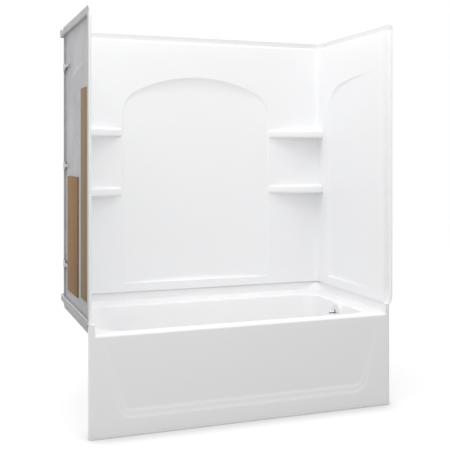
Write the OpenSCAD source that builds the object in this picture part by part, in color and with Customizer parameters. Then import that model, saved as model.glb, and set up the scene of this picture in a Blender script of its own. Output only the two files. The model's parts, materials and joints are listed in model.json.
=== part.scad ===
// Alcove bath and shower unit: a bathtub with an apron and a three-piece moulded wall surround,
// wood backer boards on the end walls, and a trip-lever waste and overflow at the drain end.
// Origin: centre of the footprint, on the floor. +X to the right, -Y to the room, +Z up.

/* [Overall size] */
// Width across the nailing flanges
unit_w = 1524; // [1450:1:1700]
// Depth from the front edge of the end walls to the back flange
unit_d = 813; // [780:1:900]
// Height of the surround above the floor
unit_h = 1905; // [1800:1:2100]

/* [Moulded shells] */
// Wall thickness of the surround panels
wall_t = 5; // [4:0.5:6]
// Wall thickness of the bathtub
tub_t = 5; // [4:0.5:6]
// Room face of the panels, inboard of the studs
skin_set = 22; // [21:0.5:26]
// Height of the nailing band along the top
band_h = 32; // [24:1:45]
// Outside radius of the nailing band's rear corners
band_corner_r = 14; // [8:1:20]
// Radius of the inside corners of the surround
corner_r = 25; // [15:1:40]
// Radius of the moulded edges of the panels
edge_r = 8; // [5.5:0.5:12]

/* [Back wall panel] */
// Width of the arched panel
arch_w = 854; // [780:1:860]
// Height of the panel's sill
sill_h = 553; // [530:1:620]
// Height where the arch springs
spring_h = 1476; // [1420:1:1500]
// Rise of the arch
arch_rise = 206; // [185:1:225]
// Radius of the arch's shoulders
arch_corner_r = 140; // [100:1:170]
// Depth of the panel at its middle
panel_d = 14; // [10:0.5:15]
// Depth of the panel at its two sides
panel_side_d = 3; // [1:0.5:6]
// Slope of the panel's border, run over depth
bevel_k = 1.5; // [1:0.1:2]

/* [Corner shelves] */
// Height of the upper shelf
shelf_high = 1392; // [1320:1:1450]
// Height of the lower shelf
shelf_low = 1073; // [1000:1:1150]
// Thickness of a shelf's front edge
shelf_t = 43; // [30:1:55]
// Reach of a shelf along the back wall
shelf_reach = 312; // [240:1:320]
// Front edge of a shelf at the side, behind the panel joint
shelf_set = 3; // [2:0.5:12]
// Front edge of the side wings, behind the front of the unit
joint_back = 712.5; // [690:0.5:720]

/* [End wall panel] */
// Rear edge of the half arch, in front of the panel joint
half_arch_gap = 45; // [35:1:70]
// Front end of the half arch, behind the panel's front edge
half_arch_lead = 95; // [70:1:140]
// Radius of the half arch's rear corner
half_corner_r = 200; // [150:1:205]
// Height where the rear corner springs
half_spring_h = 1450; // [1380:1:1460]
// Height of the top of the half arch
half_arch_h = 1683; // [1600:1:1720]
// Depth of the half arch at its rear edge
half_arch_d = 9; // [5:0.5:10]
// Face of the end wall's front edge, behind the front of the unit
return_set = 38; // [30:0.5:50]

/* [Bathtub] */
// Height of the rim
rim_h = 457; // [430:1:500]
// Rise of the wall ledge above the rim
ledge_rise = 49; // [40:1:60]
// Apron face behind the front edge of the end walls
apron_set = 13; // [8:0.5:20]
// Width of the upright strip at each end of the apron
strip_w = 31; // [24:1:40]
// Upstand of the tub's flange above the wall ledge
lip_rise = 14; // [8:0.5:18]
// Drop of the tub's flange below the wall ledge
lip_drop = 15; // [8:0.5:25]
// Wall ledge's edge outboard of the panels' room face
ledge_gap = 8; // [7:0.5:12]
// Rim width at the front
front_rim = 66; // [55:1:85]
// Rim width along the back wall
back_rim = 115; // [90:1:130]
// Rim width at the left end
left_rim = 63; // [55:1:85]
// Rim width at the drain end
right_rim = 88; // [84:1:110]
// Corner radius of the basin's left end
basin_r_left = 112; // [80:1:150]
// Corner radius of the basin's drain end
basin_r_right = 84; // [60:1:120]
// Height of the basin floor above the room's floor
floor_h = 110; // [106:1:130]
// Run of the sloped backrest from rim to floor
backrest_run = 215; // [150:1:260]
// Draft of the drain-end wall
drain_end_draft = 20; // [10:1:28]
// Draft of the front and back basin walls
side_draft = 56; // [40:1:75]
// Radius between the basin's walls and floor
basin_fillet = 44; // [25:1:60]
// Radius of the rim's front edge
rim_edge_r = 12; // [8:0.5:16]

/* [Apron panel] */
// Foot of the recessed panel, in from the unit's side
apron_foot_in = 138; // [122:1:202]
// Head of the recessed panel, in from the unit's side
apron_head_in = 64; // [58:1:112]
// Height of the panel's foot
apron_foot_h = 80; // [60:1:110]
// Height at which the panel fades out
apron_head_h = 420; // [380:1:430]
// Depth of the panel at its foot
apron_d = 13; // [8:0.5:18]
// Width of the panel's sloped border
apron_bevel = 38; // [25:1:50]

/* [Tub supports] */
// Thickness of the plywood bonded under the basin floor
board_t = 12; // [9:0.5:18]
// Length of that board
board_l = 840; // [700:1:860]
// Width of that board
board_w = 330; // [260:1:340]
// Radius of a support foot
foot_r = 22; // [15:1:30]

/* [Wood backers] */
// Thickness of the backer boards
backer_t = 8; // [6:0.5:8]
// Width of the tall board
tall_w = 160; // [120:1:175]
// Tall board behind the panel's front edge
tall_set = 34; // [12:1:60]
// Foot of the tall board
tall_foot = 590; // [560:1:640]
// Head of the tall board
tall_head = 1556; // [1450:1:1650]
// Width of the short board
short_w = 250; // [180:1:260]
// Short board in front of the half arch's deepest line
short_gap = 72; // [60:1:130]
// Foot of the short board
short_foot = 575; // [560:1:640]
// Head of the short board
short_head = 1145; // [1050:1:1250]

/* [Panel joint clips] */
// Height of a clip
clip_h = 37; // [25:1:50]
// Length of a clip's foot plate over the joint
clip_l = 50; // [40:1:56]
// Gap between a clip's arm and the short backer
clip_clear = 3; // [2:1:60]
// Height of a clip's arm
clip_arm_h = 16; // [10:1:22]
// Height of the lowest clip's middle
clip_low = 690; // [640:1:740]
// Spacing of the clips
clip_pitch = 506; // [450:1:520]
// Number of clips on a joint
clip_count = 3; // [2:1:3]

/* [Overflow] */
// Overflow centre below the rim
overflow_drop = 52; // [50:1:60]
// Radius of the overflow hole in the tub
overflow_hole_r = 27; // [27:0.5:30]
// Radius of the overflow plate
plate_r = 38; // [36:0.5:42]
// Thickness of the overflow plate
plate_t = 6; // [5:0.5:8]
// Length of the lever's handle
handle_l = 32; // [24:1:40]
// Radius of the lever's handle
handle_r = 7.5; // [6:0.5:9]
// Length of the lever's inner arm, from its pin to the lift rod
arm_l = 40; // [38:0.5:44]
// Travel of the lever to each side of level, in degrees
lever_swing = 24; // [15:1:24]

/* [Waste] */
// Outside radius of the waste tubes
tube_r = 19.05; // [19.05:0.05:19.5]
// Wall of the waste tubes
tube_t = 1.45; // [1.2:0.05:1.8]
// Drain centre to the basin's end, at the rim
drain_from_end = 120; // [115:1:160]
// Drain hole radius in the basin floor
drain_hole_r = 25; // [24.5:0.5:28]
// Radius of the drain's chrome flange
drain_flange_r = 34; // [32:0.5:38]
// Waste branch below the basin floor
branch_drop = 45; // [44:0.5:48]
// Radius of the plunger
plunger_r = 16.6; // [15.5:0.1:16.8]
// Length of the plunger
plunger_l = 36; // [30:1:38]
// Radius of the lift rod
rod_r = 2.2; // [1.8:0.1:2.6]
// Waste outlet above the room's floor
outlet_clear = 4; // [3:0.5:6]

/* [Clearances] */
// Gap between the two panels at a joint
joint_gap = 0.4; // [0.2:0.1:0.8]
// Slip fit of a tube in its socket
slip = 0.1; // [0.05:0.05:0.2]
// Running fit of the lever on its pin
run = 0.05; // [0.02:0.01:0.1]
// Air round pieces that only pass each other
air = 0.4; // [0.3:0.1:0.6]

/* [Hidden] */
$fn = 48;

// Planes of the unit
half_w = unit_w / 2;
y_front = -unit_d / 2;
y_back = unit_d / 2;
face_x = half_w - skin_set;
face_y = y_back - skin_set;
step_z = unit_h - band_h;
joint_y = y_front + joint_back;
return_y = y_front + return_set;
ledge_z = rim_h + ledge_rise;
lip_top = ledge_z + lip_rise;
y_apron = y_front + apron_set;
strip_x = half_w - wall_t;
far = 4000;
big = 400;

// Basin
riser_x = face_x + ledge_gap;
riser_y = face_y + ledge_gap;
riser_foot_in = 3;
riser_foot_r = corner_r + 75;
basin_xl = -(riser_x - left_rim);
basin_xr = riser_x - right_rim;
basin_yf = y_apron + front_rim;
basin_yb = riser_y - back_rim;
basin_yc = (basin_yf + basin_yb) / 2;

// Overflow, along X from the room side of the basin's end wall
boss_out = 14;
boss_r = 48;
boss_spread = 8;
over_z = rim_h - overflow_drop;
x_boss = basin_xr - boss_out;
x_gasket = x_boss + tub_t;
over_gasket_t = 4;
x_flange = x_gasket + over_gasket_t;
over_flange_t = 5;
over_flange_r = 40;
lever_x = x_boss + 11;
pipe_x = lever_x + arm_l;
screw_y = 23.3;
screw_r = 2.2;

// Waste
bore_r = tube_r - tube_t;
socket_r = tube_r + slip;
hub_r = tube_r + 4;
hub_stop = 18;
tee_z = floor_h - branch_drop;
tee_up = 41;
tee_down = 36;
tee_side = 44;
drain_x = basin_xr - drain_from_end;
washer_t = 3;
nut_l = 19;
nut_grip = 12;
nut_r = hub_r + 6.5;
elbow_hub_z = over_z - 63;
chamber_r = tube_r + 1;
drain_pad_t = 10;
flange_t = 3;
drain_gasket_t = 4;
shoe_top = floor_h - drain_pad_t - drain_gasket_t;
shoe_flange_t = 6;
body_r = drain_hole_r - 2;
shoe_end = 60;
shoe_foot = tee_z - hub_r - 3;
seat_r = bore_r - 3;
seat_z = tee_z - bore_r - 1.4;
tail_socket = 8;
tail_neck = 0.6;
// free lower end of the tailpiece stops short of its slip nut
tail_end = tee_z - tee_down - nut_l + nut_grip - 1;

// Square with its corner at the origin less the quarter circle inside it, for rounding an edge
module corner_cut(r) {
    difference() {
        translate([-1, -1]) square(r + 1);
        translate([r, r]) circle(r);
    }
}

// Outline of the room side of the surround, grown outwards by off, open to the front
module room_plan(off, front, corner = 0) {
    r = corner > 0 ? corner : corner_r + off;
    x = face_x + off;
    y = face_y + off;
    translate([-x, front]) square([2 * x, y - r - front]);
    translate([-(x - r), front]) square([2 * (x - r), y - front]);
    for (s = [-1, 1]) translate([s * (x - r), y - r]) circle(r);
}

// Band that follows the three walls between two outlines
module wall_band(inner, outer, front, z0, z1) {
    translate([0, 0, z0]) linear_extrude(z1 - z0) difference() {
        room_plan(outer, front);
        room_plan(inner, front - 1);
    }
}

// Section of a wall panel: x is outwards from the room face, y is height
module panel_section(band = true) {
    difference() {
        union() {
            translate([0, ledge_z]) square([wall_t, step_z - ledge_z]);
            translate([0, ledge_z]) square([skin_set - wall_t - 0.5, wall_t]);
            translate([0, step_z - wall_t]) square([band ? skin_set : skin_set - 2 * wall_t, wall_t]);
            if (band) translate([skin_set - wall_t, step_z - wall_t]) square([wall_t, band_h + wall_t]);
        }
        translate([0, step_z]) mirror([0, 1]) corner_cut(edge_r);
        translate([skin_set, unit_h]) rotate(180) corner_cut(2);
    }
    intersection() {
        translate([wall_t, step_z - wall_t]) mirror([0, 1]) corner_cut(edge_r - wall_t + 4);
        translate([wall_t - 0.01, step_z - 2 * edge_r]) square([edge_r, 2 * edge_r]);
    }
}

// Panel section carried round the back and the two corners as far as the joints
module back_sweep() {
    run_x = face_x - corner_r;
    translate([-run_x, face_y, 0]) rotate([90, 0, 90]) linear_extrude(2 * run_x) panel_section(false);
    for (s = [0, 1]) mirror([s, 0, 0]) {
        translate([run_x, face_y - corner_r, 0]) rotate_extrude(angle = 90)
            translate([corner_r, 0]) panel_section(false);
        translate([face_x, face_y - corner_r, 0]) rotate([90, 0, 0])
            linear_extrude(face_y - corner_r - joint_y) panel_section(false);
    }
    // step and nailing band, with tighter corners
    translate([0, 0, step_z - wall_t]) linear_extrude(wall_t) difference() {
        room_plan(skin_set, joint_y, band_corner_r);
        room_plan(edge_r + 1, joint_y - 1);
    }
    translate([0, 0, step_z - wall_t]) linear_extrude(band_h + wall_t) difference() {
        room_plan(skin_set, joint_y, band_corner_r);
        room_plan(skin_set - wall_t, joint_y - 1, band_corner_r - wall_t);
    }
}

// Arched panel sunk into the back wall; grow widens and deepens it by one wall
module arch_panel(grow) {
    depth = panel_d + grow;
    side = panel_side_d + grow;
    widen = grow * sqrt(1 + pow(bevel_k, 2));
    half = arch_w / 2 + widen;
    // the border's slopes run a little past the floor, which then cuts them
    deep = depth + 1;
    run_d = bevel_k * deep;
    sill = sill_h - widen;
    // flat top arc that meets the arcs of the shoulders
    corner_x = arch_w / 2 - arch_corner_r;
    top_r = (pow(corner_x, 2) + pow(arch_rise, 2) - pow(arch_corner_r, 2))
        / (2 * (arch_rise - arch_corner_r));
    lean = asin(corner_x / (top_r - arch_corner_r));
    arch_r = top_r + widen;
    arch_z = spring_h + arch_rise - top_r;
    floor_r = (pow(half, 2) + pow(depth - side, 2)) / (2 * (depth - side));
    // the cut starts in front of the room face, its grown back inside the wall
    y0 = grow > 0 ? 1 : -1;
    half0 = half - bevel_k * y0;
    difference() {
        intersection() {
            // arch, with its soffit sloping inwards
            translate([0, face_y + y0, arch_z]) rotate([-90, 0, 0])
                cylinder(r1 = arch_r - bevel_k * y0, r2 = arch_r - run_d, h = deep - y0, $fn = 360);
            // sides and sill, sloping likewise
            translate([0, face_y, 0]) linear_extrude(far)
                polygon([[-half0, y0], [half0, y0], [half - run_d, deep], [run_d - half, deep]]);
            translate([-far / 2, face_y, 0]) rotate([90, 0, 90]) linear_extrude(far)
                polygon([[y0, sill + bevel_k * y0], [deep, sill + run_d], [deep, far], [y0, far]]);
            // floor of the panel, a shallow upright cylinder
            translate([0, face_y + depth - floor_r, 0]) cylinder(r = floor_r, h = far, $fn = 720);
        }
        // shoulders, set out a little so that they cross the arch and the sides
        for (s = [0, 1]) mirror([s, 0, 0]) translate([corner_x + 0.4, face_y, spring_h + 0.6]) difference() {
            translate([0, deep + 2, 0]) rotate([90, 0, 0]) linear_extrude(deep + 4)
                polygon([[0, 0], [far, 0], [far, far], [far * sin(lean), far * cos(lean)]]);
            translate([0, -4, 0]) rotate([-90, 0, 0])
                cylinder(r1 = arch_corner_r + widen + 4 * bevel_k,
                    r2 = arch_corner_r + widen - bevel_k * (deep + 4), h = deep + 8, $fn = 180);
        }
    }
}

// Front edge of the right-hand shelves: a circle square to the end wall that meets the back wall
shelf_y = joint_y + shelf_set;
shelf_run_y = face_y - shelf_y;
shelf_edge_r = (pow(shelf_reach, 2) + pow(shelf_run_y, 2)) / (2 * shelf_run_y);
shelf_sweep = asin(shelf_reach / shelf_edge_r) + 4;

// Right-hand shelf with its top at z; inset shrinks it by one wall, deep carries it past the wall
module shelf(z, inset, deep) {
    intersection() {
        translate([face_x, shelf_y + shelf_edge_r, z]) rotate([0, 0, 270 - shelf_sweep])
            rotate_extrude(angle = shelf_sweep, $fn = 360) difference() {
                translate([shelf_edge_r - 2 * shelf_run_y, inset - shelf_t])
                    square([2 * shelf_run_y - inset, shelf_t - 2 * inset]);
                translate([shelf_edge_r - inset, -inset]) rotate(180) corner_cut(edge_r - inset / 2);
                translate([shelf_edge_r - inset, inset - shelf_t]) rotate(90)
                    corner_cut(edge_r + 3 - inset / 2);
            }
        x0 = inset > 0 ? arch_w / 2 + 3 * inset : arch_w / 4;
        x1 = face_x + wall_t / 2 - 1.5 * inset;
        translate([x0, shelf_y - 1, z - shelf_t - 1])
            cube([x1 - x0, shelf_run_y + 1 + deep, shelf_t + 2]);
    }
}

module back_wall() color([0.96, 0.96, 0.97]) difference() {
    union() {
        back_sweep();
        arch_panel(wall_t);
        for (s = [0, 1]) mirror([s, 0, 0]) {
            for (z = [shelf_low, shelf_high]) shelf(z, 0, wall_t / 2);
            // outward flange at the joint
            translate([face_x, joint_y, ledge_z + wall_t])
                cube([joint_flange, 4, step_z - ledge_z - wall_t]);
        }
    }
    arch_panel(0);
    for (s = [0, 1]) mirror([s, 0, 0]) {
        for (z = [shelf_low, shelf_high]) shelf(z, wall_t, 3 * wall_t);
        // rounded end of the top band at the joint
        translate([face_x - 1, joint_y, unit_h]) rotate([90, 0, 90])
            linear_extrude(skin_set + 2) mirror([0, 1]) corner_cut(band_end_r);
    }
}

// Reach of the flanges that meet at a panel joint, from the room face
joint_flange = skin_set - wall_t - 0.6;

// Rounding of the top band's ends at the joint
band_end_r = 14;

// Sloped floor of the half arch: deepest at its rear edge, fading out towards the front
arch_rear_y = joint_y - half_arch_gap;
arch_front_y = return_y + half_arch_lead;
half_bevel_k = 1.3 * bevel_k;
rear_bevel_k = 2 * bevel_k;

module half_arch(grow) {
    depth = half_arch_d + grow;
    widen = grow * sqrt(1 + pow(half_bevel_k, 2));
    sill = sill_h - widen;
    rear = arch_rear_y + grow * sqrt(1 + pow(rear_bevel_k, 2));
    front = arch_front_y - (grow > 0 ? 2 * wall_t : 0);
    // flat top arc that meets the corner's arc
    corner_y = arch_rear_y - half_corner_r;
    run = corner_y - arch_front_y;
    rise = half_arch_h - half_spring_h;
    top_r = (pow(run, 2) + pow(rise, 2) - pow(half_corner_r, 2)) / (2 * (rise - half_corner_r));
    lean = asin(run / (top_r - half_corner_r));
    // the cut starts on the room side of the face, its grown back inside the wall
    x0 = grow > 0 ? 1 : -1;
    slope = half_arch_d / (rear - rear_bevel_k * depth - front);
    difference() {
        intersection() {
            translate([face_x + x0, arch_front_y, half_arch_h - top_r]) rotate([0, 90, 0])
                cylinder(r1 = top_r + widen - half_bevel_k * x0, r2 = top_r + widen - half_bevel_k * depth,
                    h = depth - x0, $fn = 360);
            // rear edge and floor, in plan
            linear_extrude(far) polygon([
                [face_x + x0, front - (grow > 0 ? 0 : 1 / slope)], [face_x + x0, rear - rear_bevel_k * x0],
                [face_x + depth, rear - rear_bevel_k * depth], [face_x + grow, front]
            ]);
            // sill
            translate([0, half_w, 0]) rotate([90, 0, 0]) linear_extrude(far / 2) polygon([
                [face_x + x0, sill + half_bevel_k * x0], [face_x + depth, sill + half_bevel_k * depth],
                [face_x + depth, far], [face_x + x0, far]
            ]);
        }
        // rear corner, with its sides sloping inwards
        translate([0, corner_y, half_spring_h + 0.6]) difference() {
            translate([face_x - 2, 0, 0]) rotate([90, 0, 90]) linear_extrude(depth + 4)
                polygon([[0, 0], [far, 0], [far, far], [far * sin(lean), far * cos(lean)]]);
            translate([face_x - 4, 0, 0]) rotate([0, 90, 0])
                cylinder(r1 = half_corner_r + widen + 4 * half_bevel_k,
                    r2 = half_corner_r + widen - half_bevel_k * (depth + 4), h = depth + 8, $fn = 180);
        }
    }
}
module end_wall() {
    rear_y = joint_y - joint_gap;
    top_l = rear_y - y_front;
    difference() {
        union() {
            translate([face_x, return_y, 0]) rotate([90, 0, 0]) mirror([0, 0, 1])
                linear_extrude(rear_y - return_y) panel_section();
            // front return and nailing flange
            translate([face_x, return_y, ledge_z]) cube([skin_set, wall_t, step_z - ledge_z]);
            translate([half_w - wall_t, y_front, lip_top + air])
                cube([wall_t, return_y + wall_t - y_front, unit_h - lip_top - air]);
            translate([half_w - wall_t, y_front, step_z - wall_t]) cube([wall_t, top_l, band_h + wall_t]);
            // outward flange at the joint
            translate([face_x, rear_y - 4, ledge_z + wall_t])
                cube([joint_flange, 4, step_z - ledge_z - wall_t]);
            half_arch(wall_t);
        }
        half_arch(0);
        // rounded front edge of the room face
        translate([face_x, return_y, ledge_z - 1]) linear_extrude(step_z - ledge_z + 1) corner_cut(edge_r);
        // rounded top corners of the band
        translate([half_w - 2 * skin_set, y_front, unit_h]) rotate([90, 0, 90])
            linear_extrude(3 * skin_set) mirror([0, 1]) corner_cut(18);
        translate([half_w - 2 * skin_set, rear_y, unit_h]) rotate([90, 0, 90])
            linear_extrude(3 * skin_set) rotate(180) corner_cut(band_end_r);
        // nothing of the return stands inside the tub's flange
        translate([half_w - wall_t - 0.5, y_front - 1, ledge_z - 1])
            cube([2 * wall_t, return_set + 2 * wall_t, lip_rise + 1 + air]);
    }
}
module right_end_wall() color([0.95, 0.95, 0.96]) end_wall();
module left_end_wall() color([0.95, 0.95, 0.96]) mirror([1, 0, 0]) end_wall();

// Slope of the end wall's back behind the half arch
back_y0 = arch_front_y - 2 * wall_t;
back_y1 = arch_rear_y + wall_t * sqrt(1 + pow(rear_bevel_k, 2)) - rear_bevel_k * (half_arch_d + wall_t);
arch_tilt = atan(half_arch_d / (back_y1 - back_y0));

// Short board on the sloped back of the half arch, behind a gap at its rear
module short_backer() {
    translate([face_x + wall_t + air / 2, back_y0, 0]) rotate([0, 0, -arch_tilt])
        translate([0, back_y1 - back_y0 - short_gap - short_w, short_foot])
            cube([backer_t, short_w, short_head - short_foot]);
}
// Tall board, from the flat front margin to the foot of that slope
module tall_backer() {
    y0 = return_y + tall_set;
    tilt = atan(max(0, y0 + tall_w - back_y0) * tan(arch_tilt) / tall_w);
    translate([face_x + wall_t + air / 2, y0, tall_foot]) rotate([0, 0, -tilt])
        cube([backer_t, tall_w, tall_head - tall_foot]);
}
wood = [0.62, 0.47, 0.33];
module right_short_backer() color(wood) short_backer();
module left_short_backer() color(wood) mirror([1, 0, 0]) short_backer();
module right_tall_backer() color(wood) tall_backer();
module left_tall_backer() color(wood) mirror([1, 0, 0]) tall_backer();

// Snap brackets that bridge the flanges of a joint from outside
module joint_clips() {
    clip_t = 2;
    inner = face_x + joint_flange + air / 2;
    rear = joint_y + 4 + air;
    front = back_y1 - short_gap + clip_clear;
    for (i = [0 : clip_count - 1]) translate([0, 0, clip_low + i * clip_pitch]) {
        translate([inner, rear - clip_l, -clip_h / 2]) cube([clip_t, clip_l + clip_t, clip_h]);
        translate([inner, front, -clip_arm_h / 2]) cube([clip_t, rear - front, clip_arm_h]);
        // tongues on both sides of the flanges, and a foot on the end wall
        for (y = [rear, joint_y - joint_gap - 4 - air - clip_t])
            translate([face_x + wall_t + 3, y, -clip_h / 2])
                cube([inner - face_x - wall_t - 2, clip_t, clip_h]);
        foot = clip_low + i * clip_pitch > half_arch_h + 10 ? face_x + wall_t
            : face_x + wall_t + half_arch_d * min(1, (front - back_y0) / (back_y1 - back_y0));
        translate([foot + air / 2, front, -clip_arm_h / 2]) cube([inner - foot, clip_t, clip_arm_h]);
    }
}
module right_joint_clips() color([0.8, 0.8, 0.8]) joint_clips();
module left_joint_clips() color([0.8, 0.8, 0.8]) mirror([1, 0, 0]) joint_clips();

// Thin slice of the basin at height z, with its four sides moved in and the corners rounded
module basin_slice(z, left, right, sides, grow, fill) {
    rl = basin_r_left - fill + grow;
    rr = basin_r_right - fill + grow;
    for (c = [[basin_xl + left + fill - grow, 1, rl], [basin_xr - right - fill + grow, -1, rr]])
        for (y = [[basin_yf + sides + fill - grow, 1], [basin_yb - sides - fill + grow, -1]])
            translate([c[0] + c[1] * c[2], y[0] + y[1] * c[2], z]) cylinder(r = c[2], h = 0.02);
}

// Basin space from the floor to above the rim, grown by one wall for its outside
module basin(grow, top) {
    drop = rim_h - floor_h;
    base = floor_h - grow;
    f = basin_fillet + grow;
    over = (top - rim_h) / drop;
    hull() {
        basin_slice(top, -over * backrest_run, -over * drain_end_draft, -over * side_draft, grow, 0);
        for (a = [0, 30, 60, 90]) {
            z = base + f * (1 - cos(a));
            k = 1 - (z - floor_h) / drop;
            basin_slice(z, k * backrest_run, k * drain_end_draft, k * side_draft, grow, f * (1 - sin(a)));
        }
    }
}

// Space above the rim inside the wall ledge; its rear corners open out towards the top
module riser_space(grow, top) {
    x_in = riser_x - riser_foot_in + grow;
    y_in = riser_y - riser_foot_in + grow;
    r_in = riser_foot_r + grow;
    x_up = riser_x + grow;
    y_up = riser_y + grow;
    r_up = corner_r + ledge_gap + grow;
    z0 = grow > 0 ? rim_h - tub_t : rim_h;
    hull() {
        for (s = [-1, 1]) {
            translate([s * (x_in - r_in), y_in - r_in, z0]) cylinder(r = r_in, h = 0.02);
            translate([s * (x_up - r_up), y_up - r_up, top]) cylinder(r = r_up, h = 0.02);
        }
        translate([-x_in, y_apron + tub_t, z0]) cube([2 * x_in, 1, 0.02]);
        translate([-x_up, y_apron + tub_t, top]) cube([2 * x_up, 1, 0.02]);
    }
}

// Sunk panel of the apron, fading out towards its head; grow makes its back
module apron_slice(y, in, z_in, grow) {
    widen = grow * sqrt(1 + pow(apron_bevel / apron_d, 2));
    foot = half_w - apron_foot_in - in + widen;
    head = half_w - apron_head_in - in + widen;
    z0 = apron_foot_h + z_in - widen;
    r = 26;
    translate([0, y, 0]) rotate([-90, 0, 0]) mirror([0, 1, 0]) linear_extrude(0.02) {
        for (s = [-1, 1]) translate([s * (foot - r), z0 + r]) circle(r);
        polygon([[-foot, z0 + r], [foot, z0 + r], [head, apron_head_h + 40], [-head, apron_head_h + 40]]);
    }
}
module apron_panel(grow) {
    depth = apron_d + grow;
    slope_h = apron_head_h - apron_foot_h;
    intersection() {
        hull() {
            apron_slice(y_apron - 0.01, 0, 0, grow);
            apron_slice(y_apron + depth, apron_bevel, apron_bevel, grow);
        }
        // floor of the panel leans out to the apron face at its head
        translate([-half_w, y_apron, 0]) rotate([90, 0, 90]) linear_extrude(unit_w)
            polygon([[-1, 0], [depth, 0], [depth, apron_foot_h + apron_bevel], [grow, apron_head_h],
                [grow, apron_head_h + 10], [-1, apron_head_h + 10]]);
    }
}

// Apron with its floor flange, side returns and upright strips
module apron_shell() {
    toe = 22;
    side = 30;
    translate([-strip_x, y_apron, 0]) cube([2 * strip_x, tub_t, rim_h - 0.01]);
    translate([-strip_x, y_apron, 0]) cube([2 * strip_x, toe, tub_t]);
    apron_panel(tub_t);
    for (s = [0, 1]) mirror([s, 0, 0]) {
        translate([strip_x - strip_w, y_apron, 0]) cube([strip_w, tub_t, ledge_z]);
        translate([strip_x - tub_t, y_apron, 0]) cube([tub_t, side, ledge_z]);
    }
}

module bathtub() color([0.97, 0.97, 0.98]) difference() {
    union() {
        difference() {
            union() {
                // rim, riser, wall ledge and upstanding flange
                intersection() {
                    riser_space(tub_t, ledge_z);
                    translate([-half_w, y_apron, 0]) cube([unit_w, unit_d, ledge_z]);
                }
                wall_band(ledge_gap - 1, skin_set, y_apron + rim_edge_r, ledge_z - tub_t, ledge_z);
                wall_band(skin_set - wall_t, skin_set, y_apron + rim_edge_r, ledge_z - lip_drop, lip_top);
                translate([-strip_x, y_apron, rim_h - tub_t]) cube([2 * strip_x, 2 * tub_t, tub_t]);
                basin(tub_t, rim_h - tub_t / 2);
                // solid pad under the drain
                translate([drain_x, basin_yc, floor_h - drain_pad_t]) cylinder(r = 46, h = drain_pad_t);
            }
            riser_space(0, ledge_z + 1);
            basin(0, rim_h + 1);
        }
        apron_shell();
        // flat boss for the overflow on the basin's end wall
        intersection() {
            translate([x_boss, basin_yc, over_z]) rotate([0, 90, 0])
                cylinder(r1 = boss_r, r2 = boss_r + boss_spread, h = boss_out + drain_end_draft);
            basin(tub_t / 2, rim_h - 2);
        }
    }
    apron_panel(0);
    // rim and corner edges of the apron
    translate([-strip_x + strip_w, y_apron, rim_h]) rotate([90, 0, 90])
        linear_extrude(2 * (strip_x - strip_w)) mirror([0, 1]) corner_cut(rim_edge_r);
    for (s = [0, 1]) mirror([s, 0, 0]) translate([strip_x, y_apron, -1])
        linear_extrude(ledge_z + 2) mirror([1, 0]) corner_cut(rim_edge_r);
    // overflow hole and the pocket for its gasket
    translate([x_boss - 1, basin_yc, over_z]) rotate([0, 90, 0]) cylinder(r = overflow_hole_r, h = 40);
    translate([x_gasket, basin_yc, over_z]) rotate([0, 90, 0]) cylinder(r = over_flange_r + 2, h = 40);
    // drain hole and the seat for its flange
    translate([drain_x, basin_yc, 0]) cylinder(r = drain_hole_r, h = floor_h + 1);
    translate([drain_x, basin_yc, floor_h - flange_t]) cylinder(r = drain_flange_r + air, h = flange_t + 1);
}

// Plywood under the basin floor, and the feet that carry it
module floor_support_board() color([0.72, 0.6, 0.42]) {
    x1 = drain_x - 70;
    translate([x1 - board_l, basin_yc - board_w / 2, floor_h - tub_t - board_t])
        cube([board_l, board_w, board_t]);
}
module support_feet() color([0.25, 0.25, 0.27]) {
    x1 = drain_x - 70;
    top = floor_h - tub_t - board_t;
    for (x = [x1 - board_l + 60, x1 - board_l / 2, x1 - 60])
        for (s = [-1, 1]) translate([x, basin_yc + s * (board_w / 2 - 45), 0]) {
            cylinder(r = foot_r + 8, h = 6);
            cylinder(r = foot_r, h = top);
            translate([0, 0, top - 6]) cylinder(r = foot_r + 8, h = 6);
        }
}

// Along the overflow's axis, from the basin outwards
module along_overflow(x) {
    translate([x, basin_yc, over_z]) rotate([0, 90, 0]) children();
}

module overflow_plate() color([0.8, 0.8, 0.82]) difference() {
    union() {
        // domed plate
        along_overflow(x_boss) rotate([180, 0, 0]) rotate_extrude() difference() {
            square([plate_r, plate_t]);
            translate([plate_r, plate_t]) rotate(180) corner_cut(4);
        }
        // ears that hold the lever's pin
        for (s = [-1, 1]) translate([x_boss - 1, basin_yc + s * 6.5 - 1.5, over_z - 5])
            cube([lever_x - x_boss + 6, 3, 10]);
    }
    // slot for the lever
    translate([x_boss - plate_t - 1, basin_yc - 4.6, over_z - 13]) cube([plate_t + 1.2, 9.2, 26]);
    for (s = [-1, 1]) translate([0, s * screw_y, 0]) along_overflow(x_boss - plate_t - 1)
        cylinder(r = screw_r + air, h = plate_t + 2);
    translate([lever_x, basin_yc - 20, over_z]) rotate([-90, 0, 0]) cylinder(r = pin_r, h = 40);
}
pin_r = 2;

module overflow_screws() color([0.8, 0.8, 0.82])
    for (s = [-1, 1]) translate([0, s * screw_y, 0]) {
        along_overflow(x_boss - plate_t - 2.2) difference() {
            cylinder(r1 = 3, r2 = 4.4, h = 2.2);
            translate([-5, -0.5, -0.01]) cube([10, 1, 1]);
        }
        along_overflow(x_boss - plate_t - 0.01) cylinder(r = screw_r, h = x_flange - x_boss + plate_t + 10);
    }

module overflow_gasket() color([0.15, 0.15, 0.15]) along_overflow(x_gasket) difference() {
    cylinder(r = over_flange_r, h = over_gasket_t);
    translate([0, 0, -1]) cylinder(r = overflow_hole_r, h = over_gasket_t + 2);
}

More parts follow.
